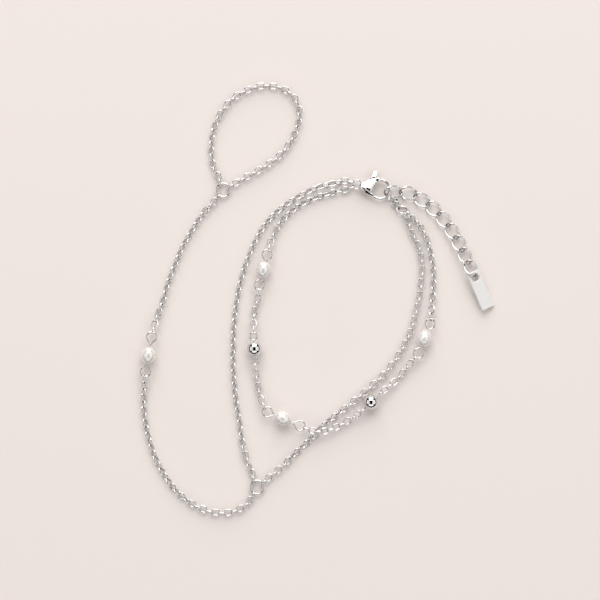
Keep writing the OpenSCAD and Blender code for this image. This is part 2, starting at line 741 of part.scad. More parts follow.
// The pitch of each gap, which closes up towards the tag
function extender_gap(i) = extender_pitch - extender_slack * ease(i / (extender_count - 2));
function extender_run(i) = i == 0 ? 0 : extender_run(i - 1) + extender_gap(i - 1);

extender_start = clasp_world(hook_centre + [hook_radius - hook_slack + extender_half, 0]);
extender_rows = concat(
    [[extender_start.x, extender_start.y, clasp_height - extender_lie(extender_first_roll)]], extender_route);
function extender_point_of(row) = [row[0], row[1], row[2] + extender_lie(0)];
extender_table = length_table(
    [for (i = [0:(len(extender_rows) - 1) * samples]) extender_point_of(row_at(extender_rows, i / samples))]);
function extender_point(s) = extender_point_of(row_at(extender_rows, lookup(s, extender_table)));
function extender_centre(i) =
    extender_point(extender_run(i)) + [0, 0, extender_lie(extender_roll(i)) - extender_lie(0)];
function extender_heading(i) =
    unit(extender_point(extender_run(i) + extender_pitch / 2)
        - extender_point(max(0, extender_run(i) - extender_pitch / 2)));

module extender_link(i) {
    points = [for (k = [0:oval_sides - 1])
        let (
            a = k * 360 / oval_sides,
            p = twisted_point(a),
            along = unit(twisted_point(a + 1) - twisted_point(a - 1)),
            out = unit(p - (p * along) * along),
            up = cross(along, out)
        )
        for (j = [0:wire_sides - 1])
            p + extender_wire / 2 * (cos(j * 360 / wire_sides) * out - sin(j * 360 / wire_sides) * up)];
    color(silver)
        lie_along(extender_centre(i), extender_heading(i), extender_roll(i))
            polyhedron(points, sweep_faces(oval_sides, wire_sides, true), convexity = 4);
}

// The tag hangs on the end of the last link, and its far end rests on the table.
last_extender = extender_count - 1;
tag_hook = extender_centre(last_extender) + extender_half * extender_heading(last_extender);
tag_hole_inset = tag_margin + tag_hole / 2;
tag_reach = tag_length - tag_hole_inset;
tag_heading = atan2(extender_heading(last_extender).y, extender_heading(last_extender).x);
tag_tilt = asin((tag_hook.z - tag_thickness / 2) / tag_reach);

module extender_tag() {
    inner_length = tag_length - 2 * tag_corner;
    inner_width = tag_width - 2 * tag_corner;
    color(bright_silver)
        translate(tag_hook)
            rotate([0, tag_tilt, tag_heading])
                difference() {
                    translate([tag_length / 2 - tag_hole_inset, 0, 0]) {
                        cube([tag_length, inner_width, tag_thickness], center = true);
                        cube([inner_length, tag_width, tag_thickness], center = true);
                        for (x = [-1, 1], y = [-1, 1])
                            translate([x * inner_length / 2, y * inner_width / 2, 0])
                                cylinder(r = tag_corner, h = tag_thickness, center = true);
                    }
                    cylinder(d = tag_hole, h = 2 * tag_thickness, center = true);
                }
}

// Connector links, from the side of the first extender link to the carrier of the right strands
function oriented(centre, heading, roll, p) =
    let (side = unit(cross([0, 0, 1], heading)), up = cross(heading, side), q = rolled(p, roll))
    centre + q.x * heading + q.y * side + q.z * up;
connector_start =
    oriented(extender_centre(0), extender_heading(0), extender_roll(0), twisted_point(connector_angle));
function connector_centre(i) =
    (i == 0 ? connector_start : connector_centre(i - 1))
        + join_length * [connectors[i][0], connectors[i][1], connectors[i][2]];
function connector_heading(i) =
    let (level = plan(connectors[i][3]), pitch = connectors[i][4])
    [level.x * cos(pitch), level.y * cos(pitch), sin(pitch)];
function connector_roll(i) = connectors[i][5];
carrier_heading = connector_heading(2);
carrier_normal = roll_normal(carrier_heading, connector_roll(2));
carrier_side = cross(carrier_normal, carrier_heading);
carrier_middle = connector_centre(2) + (carrier_length - join_width) / 2 * carrier_heading;
// Each strand hangs inside the carrier, at an angle round it from its heading
function carrier_hold(angle) =
    let (h = holder(carrier_middle, join_bend, join_wire, carrier_normal))
    held_at(h, carrier_middle
        + (join_bend - hold_gap(join_wire)) * (cos(angle) * carrier_heading + sin(angle) * carrier_side),
        cos(angle) * carrier_side - sin(angle) * carrier_heading);

module connector_link(i) {
    color(silver)
        lie_along(connector_centre(i), connector_heading(i), connector_roll(i))
            oval_link(i == 2 ? carrier_length : join_length, join_width, join_wire);
}

// Chains
hand_link_holder = join_holder(hand_link_centre, hand_link_heading, join_length, hand_link_roll);
bead_link_holder = join_holder(bead_link_centre, bead_link_heading, join_length, bead_link_roll);
bead_chains = [
    [tail_hold(tail_bead_angle), bead_1_route, pearl_eye_holder(1, 0)],
    [pearl_eye_holder(1, 1), bead_2_route, ball_eye_holder(0, 0)],
    [ball_eye_holder(0, 1), bead_3_route, pearl_eye_holder(2, 0)],
    [pearl_eye_holder(2, 1), bead_4_route, ball_eye_holder(1, 0)],
    [ball_eye_holder(1, 1), bead_5_route, pearl_eye_holder(3, 0)],
    [bead_link_holder, bead_6_route, carrier_hold(carrier_bead_angle)]
];

module finger_loop_chain() {
    fine_chain(chain(finger_holder, finger_loop_route, finger_holder));
}

module hand_chain_upper() {
    fine_chain(chain(finger_holder, hand_upper_route, pearl_eye_holder(0, 0)));
}

module hand_chain_lower() {
    fine_chain(chain(hand_link_holder, hand_lower_route, palm_holder));
}

module plain_chain_left() {
    plain_chain(tail_hold(tail_plain_angle), plain_left_route, palm_holder);
}

module plain_chain_right() {
    plain_chain(palm_holder, plain_right_route, carrier_hold(carrier_plain_angle));
}

module bead_chain(i) {
    fine_chain(chain(bead_chains[i][0], bead_chains[i][1], bead_chains[i][2]));
}

clasp_body();
clasp_lever();
clasp_rivet();
tail_ring();
finger_ring();
palm_ring();
for (i = [1:9]) extender_link(i - 1);
extender_tag();
for (i = [1:3]) connector_link(i - 1);
for (i = [1:4]) pearl(i - 1);
for (i = [1:4]) eye_pin(i - 1);
for (i = [1:2]) ball(i - 1);
for (i = [1:2]) ball_pin(i - 1);
hand_link();
bead_link();
finger_loop_chain();
hand_chain_upper();
hand_chain_lower();
plain_chain_left();
plain_chain_right();
for (i = [1:6]) bead_chain(i - 1);
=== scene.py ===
import logging
from dataclasses import dataclass
from enum import Enum
from typing import Callable, Optional, Sequence

import bpy
import numpy as np
from mathutils import Matrix


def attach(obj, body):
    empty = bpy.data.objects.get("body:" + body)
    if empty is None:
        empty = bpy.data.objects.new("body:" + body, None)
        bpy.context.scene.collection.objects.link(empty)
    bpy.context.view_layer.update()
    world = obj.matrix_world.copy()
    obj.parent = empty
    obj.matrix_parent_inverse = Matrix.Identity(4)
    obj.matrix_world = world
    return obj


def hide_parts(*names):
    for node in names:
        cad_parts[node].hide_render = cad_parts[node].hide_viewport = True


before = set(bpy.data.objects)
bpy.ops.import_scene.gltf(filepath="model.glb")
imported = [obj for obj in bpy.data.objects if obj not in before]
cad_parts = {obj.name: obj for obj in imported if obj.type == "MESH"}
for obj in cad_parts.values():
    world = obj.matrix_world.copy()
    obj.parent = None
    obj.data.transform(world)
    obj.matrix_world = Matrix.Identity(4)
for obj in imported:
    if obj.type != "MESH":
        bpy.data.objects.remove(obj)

# Hand chain bracelet, laid out on a pale table. The jewel's lengths are millimetres and its angles
# are degrees, as in the part's source, and a mesh becomes metres when it is made. The studio's
# lengths are metres.

Array = np.ndarray
Field = Callable[[Array, Array], Array]
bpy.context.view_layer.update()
METRE = 0.001
TABLE_UP = np.array([0.0, 0.0, 1.0])

# Fine chain
LINK_WIRE = 0.3
LINK_WIDTH = 1.6
LINK_PITCH = 1.43
LINK_CLEARANCE = 0.14
ROLL_REACH = 12.0
ROUTE_SAMPLES = 12
# A link is repeated hundreds of times, so it has few faces.
LINK_ARC_STEPS = 5
LINK_SIDES = 5
# Painted shade: a link is painted darker on the inner side of its bends, where the next links
# shade it. The first two say how far from its end and over what length, in wires, and the last how
# far round the wire, in half wires.
PAINTED_SHADE_START = 2.2
PAINTED_SHADE_FADE = 0.8
PAINTED_SHADE_SPREAD = 0.55

# Rings, joining links and pins
RING_DIAMETER = 3.5
RING_WIRE = 0.46
TAIL_RING_DIAMETER = 2.3
TAIL_RING_WIRE = 0.32
JOIN_LENGTH = 2.5
JOIN_WIDTH = 2.1
JOIN_WIRE = 0.38
CARRIER_LENGTH = 2.9
JOIN_DROP = 0.08
PIN_DIAMETER = 0.3
PIN_SIDES = 12
BORE_RADIUS = 0.2

# Extender and tag
EXTENDER_LENGTH = 4.5
EXTENDER_WIDTH = 3.3
EXTENDER_WIRE = 0.43
EXTENDER_CLEARANCE = 0.21
EXTENDER_SLACK = 0.3
EXTENDER_TWIST = 45.0
EXTENDER_COUNT = 9
EXTENDER_FIRST_ROLL = 10.0
EXTENDER_LAST_ROLL = -27.0
# Count of links over which the first roll fades
EXTENDER_ROLL_FADE = 3

# Clasp
CHEEK_LENGTH = 4.4
CHEEK_WIDTH = 3.8
CLASP_THICKNESS = 2.2
HOOK_DIAMETER = 4.8
HOOK_WIRE = 0.6
LEVER_THICKNESS = 0.7
SLOT_HEIGHT = 0.9
CLASP_AT = np.array([9.4, 25.6])
CLASP_HEADING = -12.7
TAIL_MARGIN = 0.2
TAIL_CLEARANCE = 0.08
TAIL_RING_ROLL = 12.0
TAIL_RING_SIDE = 0.15
TAIL_RING_RADIUS = (TAIL_RING_DIAMETER - TAIL_RING_WIRE) / 2

# Angles of the rings that round a loose wire's end
END_DOME = np.radians([80.0, 55.0, 25.0])

LOG = logging.getLogger("hand_chain_bracelet")


class Slot(Enum):
    """Names of the material slots, one for each finish of the pieces."""

    CHAIN = "chain_silver"
    CLASP = "clasp_silver"
    BALL = "mirror_ball"
    TAG = "tag_silver"
    PEARL = "pearl"


class Body(Enum):
    """Bodies that the pieces ride on."""

    JEWEL = "root"
    LEVER = "lever"


# Vectors and curves


def unit(v: Array) -> Array:
    """Give vectors length one.

    Args:
        v: Vectors along the last axis.

    Returns:
        The same vectors over their own length.
    """
    return v / np.linalg.norm(v, axis=-1, keepdims=True)


def plan(angle: float) -> Array:
    """Return the level direction at an angle from +X: cosine, sine, zero."""
    turn = np.radians(angle)
    return np.array([np.cos(turn), np.sin(turn), 0.0])


def at_height(p: Sequence[float], z: float) -> Array:
    """Return the point p moved to height z."""
    return np.array([p[0], p[1], z], dtype=float)


def side_of(heading: Array) -> Array:
    """Return the level direction to the left of a heading: up crossed with the heading."""
    return unit(np.cross(TABLE_UP, heading))


def roll_normal(heading: Array, roll: float) -> Array:
    """Return the square to a plane that holds the heading and is rolled from the level.

    Args:
        heading: Unit direction in the plane.
        roll: Roll about the heading.

    Returns:
        Cosine of the roll times up, less its sine times the left side.
    """
    side = side_of(heading)
    up = np.cross(heading, side)
    turn = np.radians(roll)
    return np.cos(turn) * up - np.sin(turn) * side


def normal_roll(heading: Array, normal: Array) -> float:
    """Return the roll whose plane has this normal, the reverse of roll_normal."""
    side = side_of(heading)
    up = np.cross(heading, side)
    return float(np.degrees(np.arctan2(-normal @ side, normal @ up)))


def slope(before: Array, here: Array, after: Array) -> Array:
    """Return the slopes of a smooth curve, weighted by how near the neighbours are.

    Args:
        before: Points before, one a row.
        here: The points where the slopes are wanted.
        after: Points after.

    Returns:
        The step before over its length, times the length after, plus the step after over its
        length, times the length before, over the sum of the two. At an end, the one step.
    """
    back = here - before
    fore = after - here
    p = np.linalg.norm(back, axis=-1, keepdims=True)
    q = np.linalg.norm(fore, axis=-1, keepdims=True)
    safe_p = np.where(p == 0, 1, p)
    safe_q = np.where(q == 0, 1, q)
    both = (back / safe_p * q + fore / safe_q * p) / np.where(p + q == 0, 1, p + q)
    return np.where(p == 0, fore / safe_q, np.where(q == 0, back / safe_p, both))


def hermite(b: Array, c: Array, m: Array, n: Array, f: Array) -> Array:
    """Return points of the cubic from b to c with slopes m and n.

    Args:
        b: Starts.
        c: Ends.
        m: Unit slopes at the starts.
        n: Unit slopes at the ends.
        f: Shares of the way, as a column.

    Returns:
        b weighted by (1-f)^2 (1+2f), c by f^2 (3-2f), and the slopes by the distance times
        f (1-f), the start's by 1-f and the end's by -f.
    """
    reach = np.linalg.norm(c - b, axis=-1, keepdims=True)
    g = 1 - f
    return b * g * g * (1 + 2 * f) + c * f * f * (1 + 2 * g) + reach * f * g * (m * g - n * f)


def ease(f: Array) -> Array:
    """Return f squared times (3 - 2 f), which starts and ends level."""
    return f * f * (3 - 2 * f)


def rows_at(rows: Array, t: Array) -> Array:
    """Follow the smooth curve through a route's rows.

    Args:
        rows: Rows of x, y, lift and, for a chain, roll.
        t: Places on it, counted in rows.

    Returns:
        One row for each t. The lift never goes below the table, and the roll eases over.
    """
    last = len(rows) - 1
    i = np.minimum(np.floor(t).astype(int), last - 1)
    f = (t - i)[:, None]
    a = rows[np.maximum(i - 1, 0), :3]
    b = rows[i, :3]
    c = rows[i + 1, :3]
    d = rows[np.minimum(i + 2, last), :3]
    place = hermite(b, c, slope(a, b, c), slope(b, c, d), f)
    place[:, 2] = np.maximum(place[:, 2], 0)
    roll = rows[i, 3:] + (rows[i + 1, 3:] - rows[i, 3:]) * ease(f)
    return np.hstack([place, roll])


def rest_height(roll: Array) -> Array:
    """Return the height of a fine link's centre when the links lie on the table at a roll."""
    turn = np.radians(roll)
    lean = np.maximum(np.abs(np.sin(turn)), np.abs(np.cos(turn)))
    return LINK_WIRE / 2 + (LINK_WIDTH - LINK_WIRE) / 2 * lean


def running_length(points: Array) -> Array:
    """Return the length run at each point of a polyline, from zero."""
    steps = np.linalg.norm(np.diff(points, axis=0), axis=1)
    return np.concatenate([[0.0], np.cumsum(steps)])


# Surfaces


@dataclass
class Shell:
    """A closed surface: its points in millimetres, its quads and its end caps."""

    points: Array
    quads: Array
    caps: tuple = ()

    def moved(self, turn: Array, place: Array) -> "Shell":
        """Return the shell with its points turned by a 3 by 3 matrix, then moved."""
        return Shell(self.points @ turn.T + place, self.quads, self.caps)


def grid_quads(rows: int, cols: int, wrap_rows: bool, wrap_cols: bool) -> Array:
    """Join a grid of points into quads.

    Args:
        rows: Count of grid rows.
        cols: Count of points in a row.
        wrap_rows: Whether the last row joins the first.
        wrap_cols: Whether the last point of a row joins its first.

    Returns:
        Four point numbers a quad. It faces along the step within a row crossed with the step
        to the next row.
    """
    i, j = np.meshgrid(np.arange(rows if wrap_rows else rows - 1),
                       np.arange(cols if wrap_cols else cols - 1), indexing="ij")
    i, j = i.ravel(), j.ravel()
    down, right = (i + 1) % rows, (j + 1) % cols
    return np.stack([i * cols + j, i * cols + right, down * cols + right, down * cols + j], axis=1)


def swept(path: Array, out: Array, radius: Array, sides: int, closed: bool) -> Shell:
    """Carry a round wire along a path.

    Args:
        path: Points of the wire's middle.
        out: For each point, a direction that the first side of the wire faces.
        radius: Radius of the wire at each point, or one for all.
        sides: Count of sides of the wire.
        closed: Whether the path is a loop.

    Returns:
        The wire's surface. Each ring's points are the middle plus the radius times the cosine
        of the angle along out and its sine along the path crossed with out, and a loose end is
        rounded by three more rings that shrink as a half ball does.
    """
    if closed:
        along = unit(np.roll(path, -1, axis=0) - np.roll(path, 1, axis=0))
    else:
        along = unit(np.gradient(path, axis=0))
    radii = np.broadcast_to(np.asarray(radius, float), (len(path),)).copy()
    if not closed:
        first = path[0] - np.outer(np.sin(END_DOME) * radii[0], along[0])
        last = path[-1] + np.outer(np.sin(END_DOME[::-1]) * radii[-1], along[-1])
        path = np.vstack([first, path, last])
        radii = np.concatenate([np.cos(END_DOME) * radii[0], radii, np.cos(END_DOME[::-1]) * radii[-1]])
        repeats = [len(END_DOME) + 1] + [1] * (len(along) - 2) + [len(END_DOME) + 1]
        along, out = np.repeat(along, repeats, 0), np.repeat(out, repeats, 0)
    face = unit(out - np.sum(out * along, axis=1, keepdims=True) * along)
    cross = np.cross(along, face)
    a = np.arange(sides) * 2 * np.pi / sides
    around = np.cos(a)[:, None] * face[:, None] + np.sin(a)[:, None] * cross[:, None]
    rings = path[:, None] + radii[:, None, None] * around
    rows = len(path)
    caps = () if closed else (np.arange(sides)[::-1], (rows - 1) * sides + np.arange(sides))
    return Shell(rings.reshape(-1, 3), grid_quads(rows, sides, closed, True), caps)


def round_wire(diameter: float, wire: float, steps: int = 56, sides: int = 14) -> Shell:
    """Return a closed ring of wire in the level plane, with its outer diameter and wire."""
    a = np.arange(steps) * 2 * np.pi / steps
    out = np.stack([np.cos(a), np.sin(a), 0 * a], axis=1)
    return swept(out * (diameter - wire) / 2, out, wire / 2, sides, True)


def oval_link(length: float, width: float, wire: float, arc_steps: int = 14, sides: int = 12,
              thicker: float = 1.0) -> Shell:
    """Make an oval link of round wire in the level plane.

    Args:
        length: Outer length, along X.
        width: Outer width, along Y.
        wire: Wire diameter.
        arc_steps: Steps in each half circle.
        sides: Count of sides of the wire.
        thicker: What the wire's radius is multiplied by.

    Returns:
        Its surface. Two half circles, whose radius is half the width less half the wire, stand
        half the straight length away from the middle.
    """
    bend = (width - wire) / 2
    half = (length - width) / 2
    a = np.radians(np.linspace(-90, 90, arc_steps + 1))
    near = np.stack([np.cos(a), np.sin(a), 0 * a], axis=1)
    far = np.stack([-np.cos(a), -np.sin(a), 0 * a], axis=1)
    shift = np.array([half, 0, 0])
    path = np.vstack([near * bend + shift, far * bend - shift])
    return swept(path, np.vstack([near, far]), wire / 2 * thicker, sides, True)


def straight_pin(half: float, steps: int) -> Shell:
    """Return a straight pin along X, whose middle line runs from minus to plus half."""
    x = np.linspace(-half, half, steps)
    path = np.column_stack([x, 0 * x, 0 * x])
    return swept(path, np.tile(TABLE_UP, (steps, 1)), PIN_DIAMETER / 2, PIN_SIDES, False)


def lie_along(heading: Array, roll: Array | float) -> Array:
    """Return the matrix that lays a level piece along a heading with its width rolled.

    Args:
        heading: Unit heading, or one a row.
        roll: Roll about it, or a column of rolls.

    Returns:
        One 3 by 3 matrix for each heading.
    """
    side = side_of(heading)
    up = np.cross(heading, side)
    turn = np.radians(roll)
    across = np.cos(turn) * side + np.sin(turn) * up
    return np.stack([heading, across, np.cross(heading, across)], axis=-1)


def revolved(profile: Array, steps: int, swell: Optional[Field] = None) -> Shell:
    """Turn a closed profile about the X axis.

    Args:
        profile: Points of x and radius, counter-clockwise seen with x to the right.
        steps: Count of steps round the axis.
        swell: Share by which the radius grows at each x and angle.

    Returns:
        The surface: the radius times cosine and sine of the angle, beside the same x.
    """
    a = np.arange(steps) * 2 * np.pi / steps
    x = np.repeat(profile[:, :1], steps, axis=1)
    radius = np.repeat(profile[:, 1:], steps, axis=1)
    angle = np.repeat(a[None, :], len(profile), axis=0)
    if swell is not None:
        radius = radius * (1 + swell(x, angle))
    points = np.stack([x, radius * np.cos(angle), radius * np.sin(angle)], axis=2)
    quads = grid_quads(len(profile), steps, True, True)
    return Shell(points.reshape(-1, 3), quads[:, ::-1])


def pillow(outline: Array, centre: Array, height: Field, steps: int) -> Shell:
    """Make a plate with a crowned face on both sides.

    Args:
        outline: Points of its edge, counter-clockwise, x and y.
        centre: Point that every ray to the edge starts from.
        height: Half thickness at a point, given the points and their share of the way out.
        steps: Count of rings from the centre to the edge.

    Returns:
        A closed shell. Each ring is the outline shrunk towards the centre, at plus or minus
        its half thickness, and the rings crowd together near the edge.
    """
    share = np.sin(np.linspace(0.04, 1, steps) * np.pi / 2)
    ring = centre + share[:, None, None] * (outline[None] - centre)
    z = height(ring, np.repeat(share[:, None], len(outline), axis=1))
    top = np.concatenate([ring, z[:, :, None]], axis=2)
    under = np.concatenate([ring[:-1][::-1], -z[:-1][::-1][:, :, None]], axis=2)
    grid = np.concatenate([top, under])
    rows, cols = grid.shape[:2]
    caps = (np.arange(cols), ((rows - 1) * cols + np.arange(cols))[::-1])
    return Shell(grid.reshape(-1, 3), grid_quads(rows, cols, False, True)[:, ::-1], caps)


def new_object(name: str, shells: Sequence[Shell], scale: float = METRE) -> bpy.types.Object:
    """Put shells into one smooth mesh object.

    Args:
        name: Name of the piece.
        shells: The closed surfaces of the piece.
        scale: Metres a unit.

    Returns:
        The object, at the origin and linked to the scene.
    """
    offsets = np.cumsum([0] + [len(s.points) for s in shells])
    points = np.vstack([s.points for s in shells]) * scale
    faces: list = []
    for start, shell in zip(offsets, shells):
        faces.extend((shell.quads + start).tolist())
        faces.extend((cap + start).tolist() for cap in shell.caps)
    mesh = bpy.data.meshes.new(name)
    mesh.from_pydata(points.tolist(), [], faces)
    mesh.polygons.foreach_set("use_smooth", np.ones(len(mesh.polygons), dtype=bool))
    mesh.validate()
    mesh.update()
    piece = bpy.data.objects.new(name, mesh)
    bpy.context.scene.collection.objects.link(piece)
    return piece


def fused(name: str, shells: Sequence[Shell], voxel: float, smooth: int,
          cuts: Sequence[Shell] = ()) -> Shell:
    """Melt overlapping shells into one cast piece, then cut it.

    Args:
        name: Name of the scratch object.
        shells: Overlapping closed shells, in millimetres.
        voxel: Size of the grid that melts them.
        smooth: Rounds of smoothing, which soften the edges.
        cuts: Closed shells that are taken away.

    Returns:
        The melted surface as one shell. The scratch objects are removed.
    """
    work = new_object(name, shells, scale=1.0)
    made = [work]
    melt = work.modifiers.new("melt", "REMESH")
    melt.mode = "VOXEL"
    melt.voxel_size = voxel
    for k, cut in enumerate(cuts):
        cutter = new_object(f"{name}_cut_{k}", [cut], scale=1.0)
        made.append(cutter)
        take = work.modifiers.new(f"take_{k}", "BOOLEAN")
        take.operation = "DIFFERENCE"
        take.object = cutter
        take.solver = "EXACT"
    if cuts:
        again = work.modifiers.new("melt_again", "REMESH")
        again.mode = "VOXEL"
        again.voxel_size = voxel
    soft = work.modifiers.new("soften", "SMOOTH")
    soft.factor = 0.5
    soft.iterations = smooth
    bpy.context.view_layer.update()
    shape = bpy.data.meshes.new_from_object(work.evaluated_get(bpy.context.evaluated_depsgraph_get()))
    points = np.empty(len(shape.vertices) * 3)
    shape.vertices.foreach_get("co", points)
    corners = np.empty(len(shape.polygons) * 4, dtype=int)
    shape.polygons.foreach_get("vertices", corners)
    for scratch in made:
        mesh = scratch.data
        bpy.data.objects.remove(scratch)
        bpy.data.meshes.remove(mesh)
    bpy.data.meshes.remove(shape)
    return Shell(points.reshape(-1, 3), corners.reshape(-1, 4))


# Finishes


def feed(node: bpy.types.Node, inputs: dict) -> None:
    """Fill a shader node's inputs.

    Args:
        node: The node.
        inputs: For each input, by name or number, its value or the output that feeds it.
    """
    for key, value in inputs.items():
        if isinstance(value, bpy.types.NodeSocket):
            node.id_data.links.new(value, node.inputs[key])
        else:
            node.inputs[key].default_value = value


def add_node(tree: bpy.types.NodeTree, kind: str, inputs: Optional[dict] = None,
             **settings: object) -> bpy.types.Node:
    """Add a shader node to a tree.

    Args:
        tree: The node tree.
        kind: Kind of the node, such as Math.
        inputs: What feeds its inputs.
        settings: The node's own settings, which come before its inputs.

    Returns:
        The node.
    """
    node = tree.nodes.new(f"ShaderNode{kind}")
    for name, value in settings.items():
        setattr(node, name, value)
    feed(node, inputs or {})
    return node


def mixed(tree: bpy.types.NodeTree, factor: object, first: object,
          second: object) -> bpy.types.NodeSocket:
    """Return the colour mixed from a first towards a second one by a factor."""
    node = add_node(tree, "Mix", {"Factor": factor, "A": first, "B": second}, data_type="RGBA")
    return node.outputs["Result"]


def surface_group(name: str, inputs: Sequence[tuple[str, str, object]]
                  ) -> tuple[bpy.types.NodeTree, bpy.types.NodeOutputs, bpy.types.Node]:
    """Start a shader node group that puts out a colour, a roughness and a normal.

    Args:
        name: Name of the group.
        inputs: Name, kind and first value of each of its inputs.

    Returns:
        The group, what its inputs bring in, and its output node.
    """
    group = bpy.data.node_groups.new(name, "ShaderNodeTree")
    for label, kind, value in inputs:
        made = group.interface.new_socket(label, in_out="INPUT", socket_type=f"NodeSocket{kind}")
        made.default_value = value
    for label, kind in (("Color", "Color"), ("Roughness", "Float"), ("Normal", "Vector")):
        group.interface.new_socket(label, in_out="OUTPUT", socket_type=f"NodeSocket{kind}")
    given = group.nodes.new("NodeGroupInput").outputs
    return group, given, group.nodes.new("NodeGroupOutput")


def metal_surface_group() -> bpy.types.NodeTree:
    """Build the group that gives polished metal its tone, polish marks and fine dents.

    Returns:
        The group. It mixes two tones by soft noise, paints shade into the recesses that a piece's own
        attribute marks, spreads the roughness by finer noise, and gives a normal bumped by
        polish marks.
    """
    group, given, out = surface_group("metal_surface", (
        ("Light Tone", "Color", (0.9, 0.9, 0.9, 1)), ("Dark Tone", "Color", (0.7, 0.7, 0.7, 1)),
        ("Scale", "Float", 900.0), ("Roughness", "Float", 0.15), ("Spread", "Float", 0.08),
        ("Marks", "Float", 0.1), ("Stretch", "Vector", (1, 1, 1)),
        ("Painted Shade Tone", "Color", (0.16, 0.16, 0.16, 1))))
    place = add_node(group, "TexCoord").outputs["Object"]
    cloud = add_node(group, "TexNoise", {"Vector": place, "Scale": given["Scale"], "Detail": 3})
    tone = mixed(group, cloud.outputs["Fac"], given["Dark Tone"], given["Light Tone"])
    # Painted shade: where the piece's attribute marks its bends, the tone is mixed towards a dark grey.
    painted_recess_shade = add_node(group, "Attribute", attribute_name="painted_recess_shade")
    tone_with_painted_shade = mixed(group, painted_recess_shade.outputs["Fac"], tone, given["Painted Shade Tone"])
    stretch = add_node(group, "VectorMath", {0: place, 1: given["Stretch"]}, operation="MULTIPLY")
    fine_scale = add_node(group, "Math", {0: given["Scale"], 1: 4.0}, operation="MULTIPLY")
    fine = add_node(group, "TexNoise", {"Vector": stretch.outputs["Vector"],
                                        "Scale": fine_scale.outputs["Value"], "Detail": 4})
    spread = add_node(group, "Math", {0: fine.outputs["Fac"], 1: given["Spread"], 2: given["Roughness"]},
                      operation="MULTIPLY_ADD")
    bump = add_node(group, "Bump", {"Distance": 0.00002, "Strength": given["Marks"],
                                    "Height": fine.outputs["Fac"]})
    feed(out, {"Color": tone_with_painted_shade, "Roughness": spread.outputs["Value"], "Normal": bump.outputs["Normal"]})
    return group


def nacre_surface_group() -> bpy.types.NodeTree:
    """Build the group that gives a pearl its tones, orient and fine skin.

    Returns:
        The group. It mixes a rose and a green overtone into white by two soft noises, warms
        the rim of the drill hole by the piece's own attribute, and bumps the skin finely.
    """
    group, given, out = surface_group("nacre_surface", (
        ("White", "Color", (0.93, 0.92, 0.9, 1)), ("Rose", "Color", (0.95, 0.86, 0.84, 1)),
        ("Green", "Color", (0.86, 0.9, 0.87, 1)), ("Hole Tone", "Color", (0.8, 0.66, 0.5, 1)),
        ("Scale", "Float", 420.0), ("Skin", "Float", 0.15)))
    place = add_node(group, "TexCoord").outputs["Object"]
    tone = given["White"]
    for overtone, shift in (("Rose", 0.0), ("Green", 0.37)):
        move = add_node(group, "VectorMath", {0: place, 1: (shift, shift, 0)}, operation="ADD")
        cloud = add_node(group, "TexNoise", {"Vector": move.outputs["Vector"], "Scale": given["Scale"],
                                             "Detail": 2})
        ramp = add_node(group, "MapRange", {"Value": cloud.outputs["Fac"], "From Min": 0.45,
                                            "From Max": 0.75, "To Max": 0.35})
        tone = mixed(group, ramp.outputs["Result"], tone, given[overtone])
    rim = add_node(group, "Attribute", attribute_name="hole_rim")
    warm = mixed(group, rim.outputs["Fac"], tone, given["Hole Tone"])
    skin = add_node(group, "TexNoise", {"Vector": place, "Scale": 2600.0, "Detail": 5})
    gloss = add_node(group, "MapRange", {"Value": skin.outputs["Fac"], "To Min": 0.2, "To Max": 0.34})
    bump = add_node(group, "Bump", {"Distance": 0.00003, "Strength": given["Skin"],
                                    "Height": skin.outputs["Fac"]})
    feed(out, {"Color": warm, "Roughness": gloss.outputs["Result"], "Normal": bump.outputs["Normal"]})
    return group


def dressed_material(name: str, group: bpy.types.NodeTree,
                     values: dict[str, object]) -> tuple[bpy.types.Material, bpy.types.Node]:
    """Make a material whose colour, roughness and normal come from a group.

    Args:
        name: Name of the material.
        group: Shader node group with Color, Roughness and Normal outputs.
        values: Values of the group's inputs.

    Returns:
        The material and its Principled shader.
    """
    material = bpy.data.materials.new(name)
    material.use_nodes = True
    shader = material.node_tree.nodes["Principled BSDF"]
    surface = add_node(material.node_tree, "Group", values, node_tree=group)
    feed(shader, {"Base Color": surface.outputs["Color"], "Roughness": surface.outputs["Roughness"],
                  "Normal": surface.outputs["Normal"]})
    return material, shader


@dataclass(frozen=True)
class MetalFinish:
    """A polished or satin metal, by its two tones, its roughness and its marks."""

    name: str
    light: tuple[float, float, float, float]
    dark: tuple[float, float, float, float]
    roughness: float
    spread: float
    marks: float
    scale: float
    stretch: tuple[float, float, float] = (1.0, 1.0, 1.0)
    metallic: float = 1.0

    def material(self, group: bpy.types.NodeTree) -> bpy.types.Material:
        """Return the finish as a material that uses the metal group."""
        material, shader = dressed_material(self.name, group, {
            "Light Tone": self.light, "Dark Tone": self.dark, "Scale": self.scale,
            "Roughness": self.roughness, "Spread": self.spread, "Marks": self.marks,
            "Stretch": self.stretch})
        shader.inputs["Metallic"].default_value = self.metallic
        return material


@dataclass(frozen=True)
class NacreFinish:
    """The skin of a freshwater pearl."""

    name: str
    white: tuple[float, float, float, float]
    glow: float
    coat: float
    sheen: float

    def material(self, group: bpy.types.NodeTree) -> bpy.types.Material:
        """Return the finish as a material with a soft body and a clear coat."""
        material, shader = dressed_material(self.name, group, {"White": self.white})
        shader.inputs["Subsurface Weight"].default_value = self.glow
        shader.inputs["Subsurface Radius"].default_value = (1.0, 0.8, 0.65)
        shader.inputs["Subsurface Scale"].default_value = 0.0009
        shader.inputs["IOR"].default_value = 1.6
        shader.inputs["Metallic"].default_value = self.sheen
        shader.inputs["Coat Weight"].default_value = self.coat
        shader.inputs["Coat Roughness"].default_value = 0.12
        return material


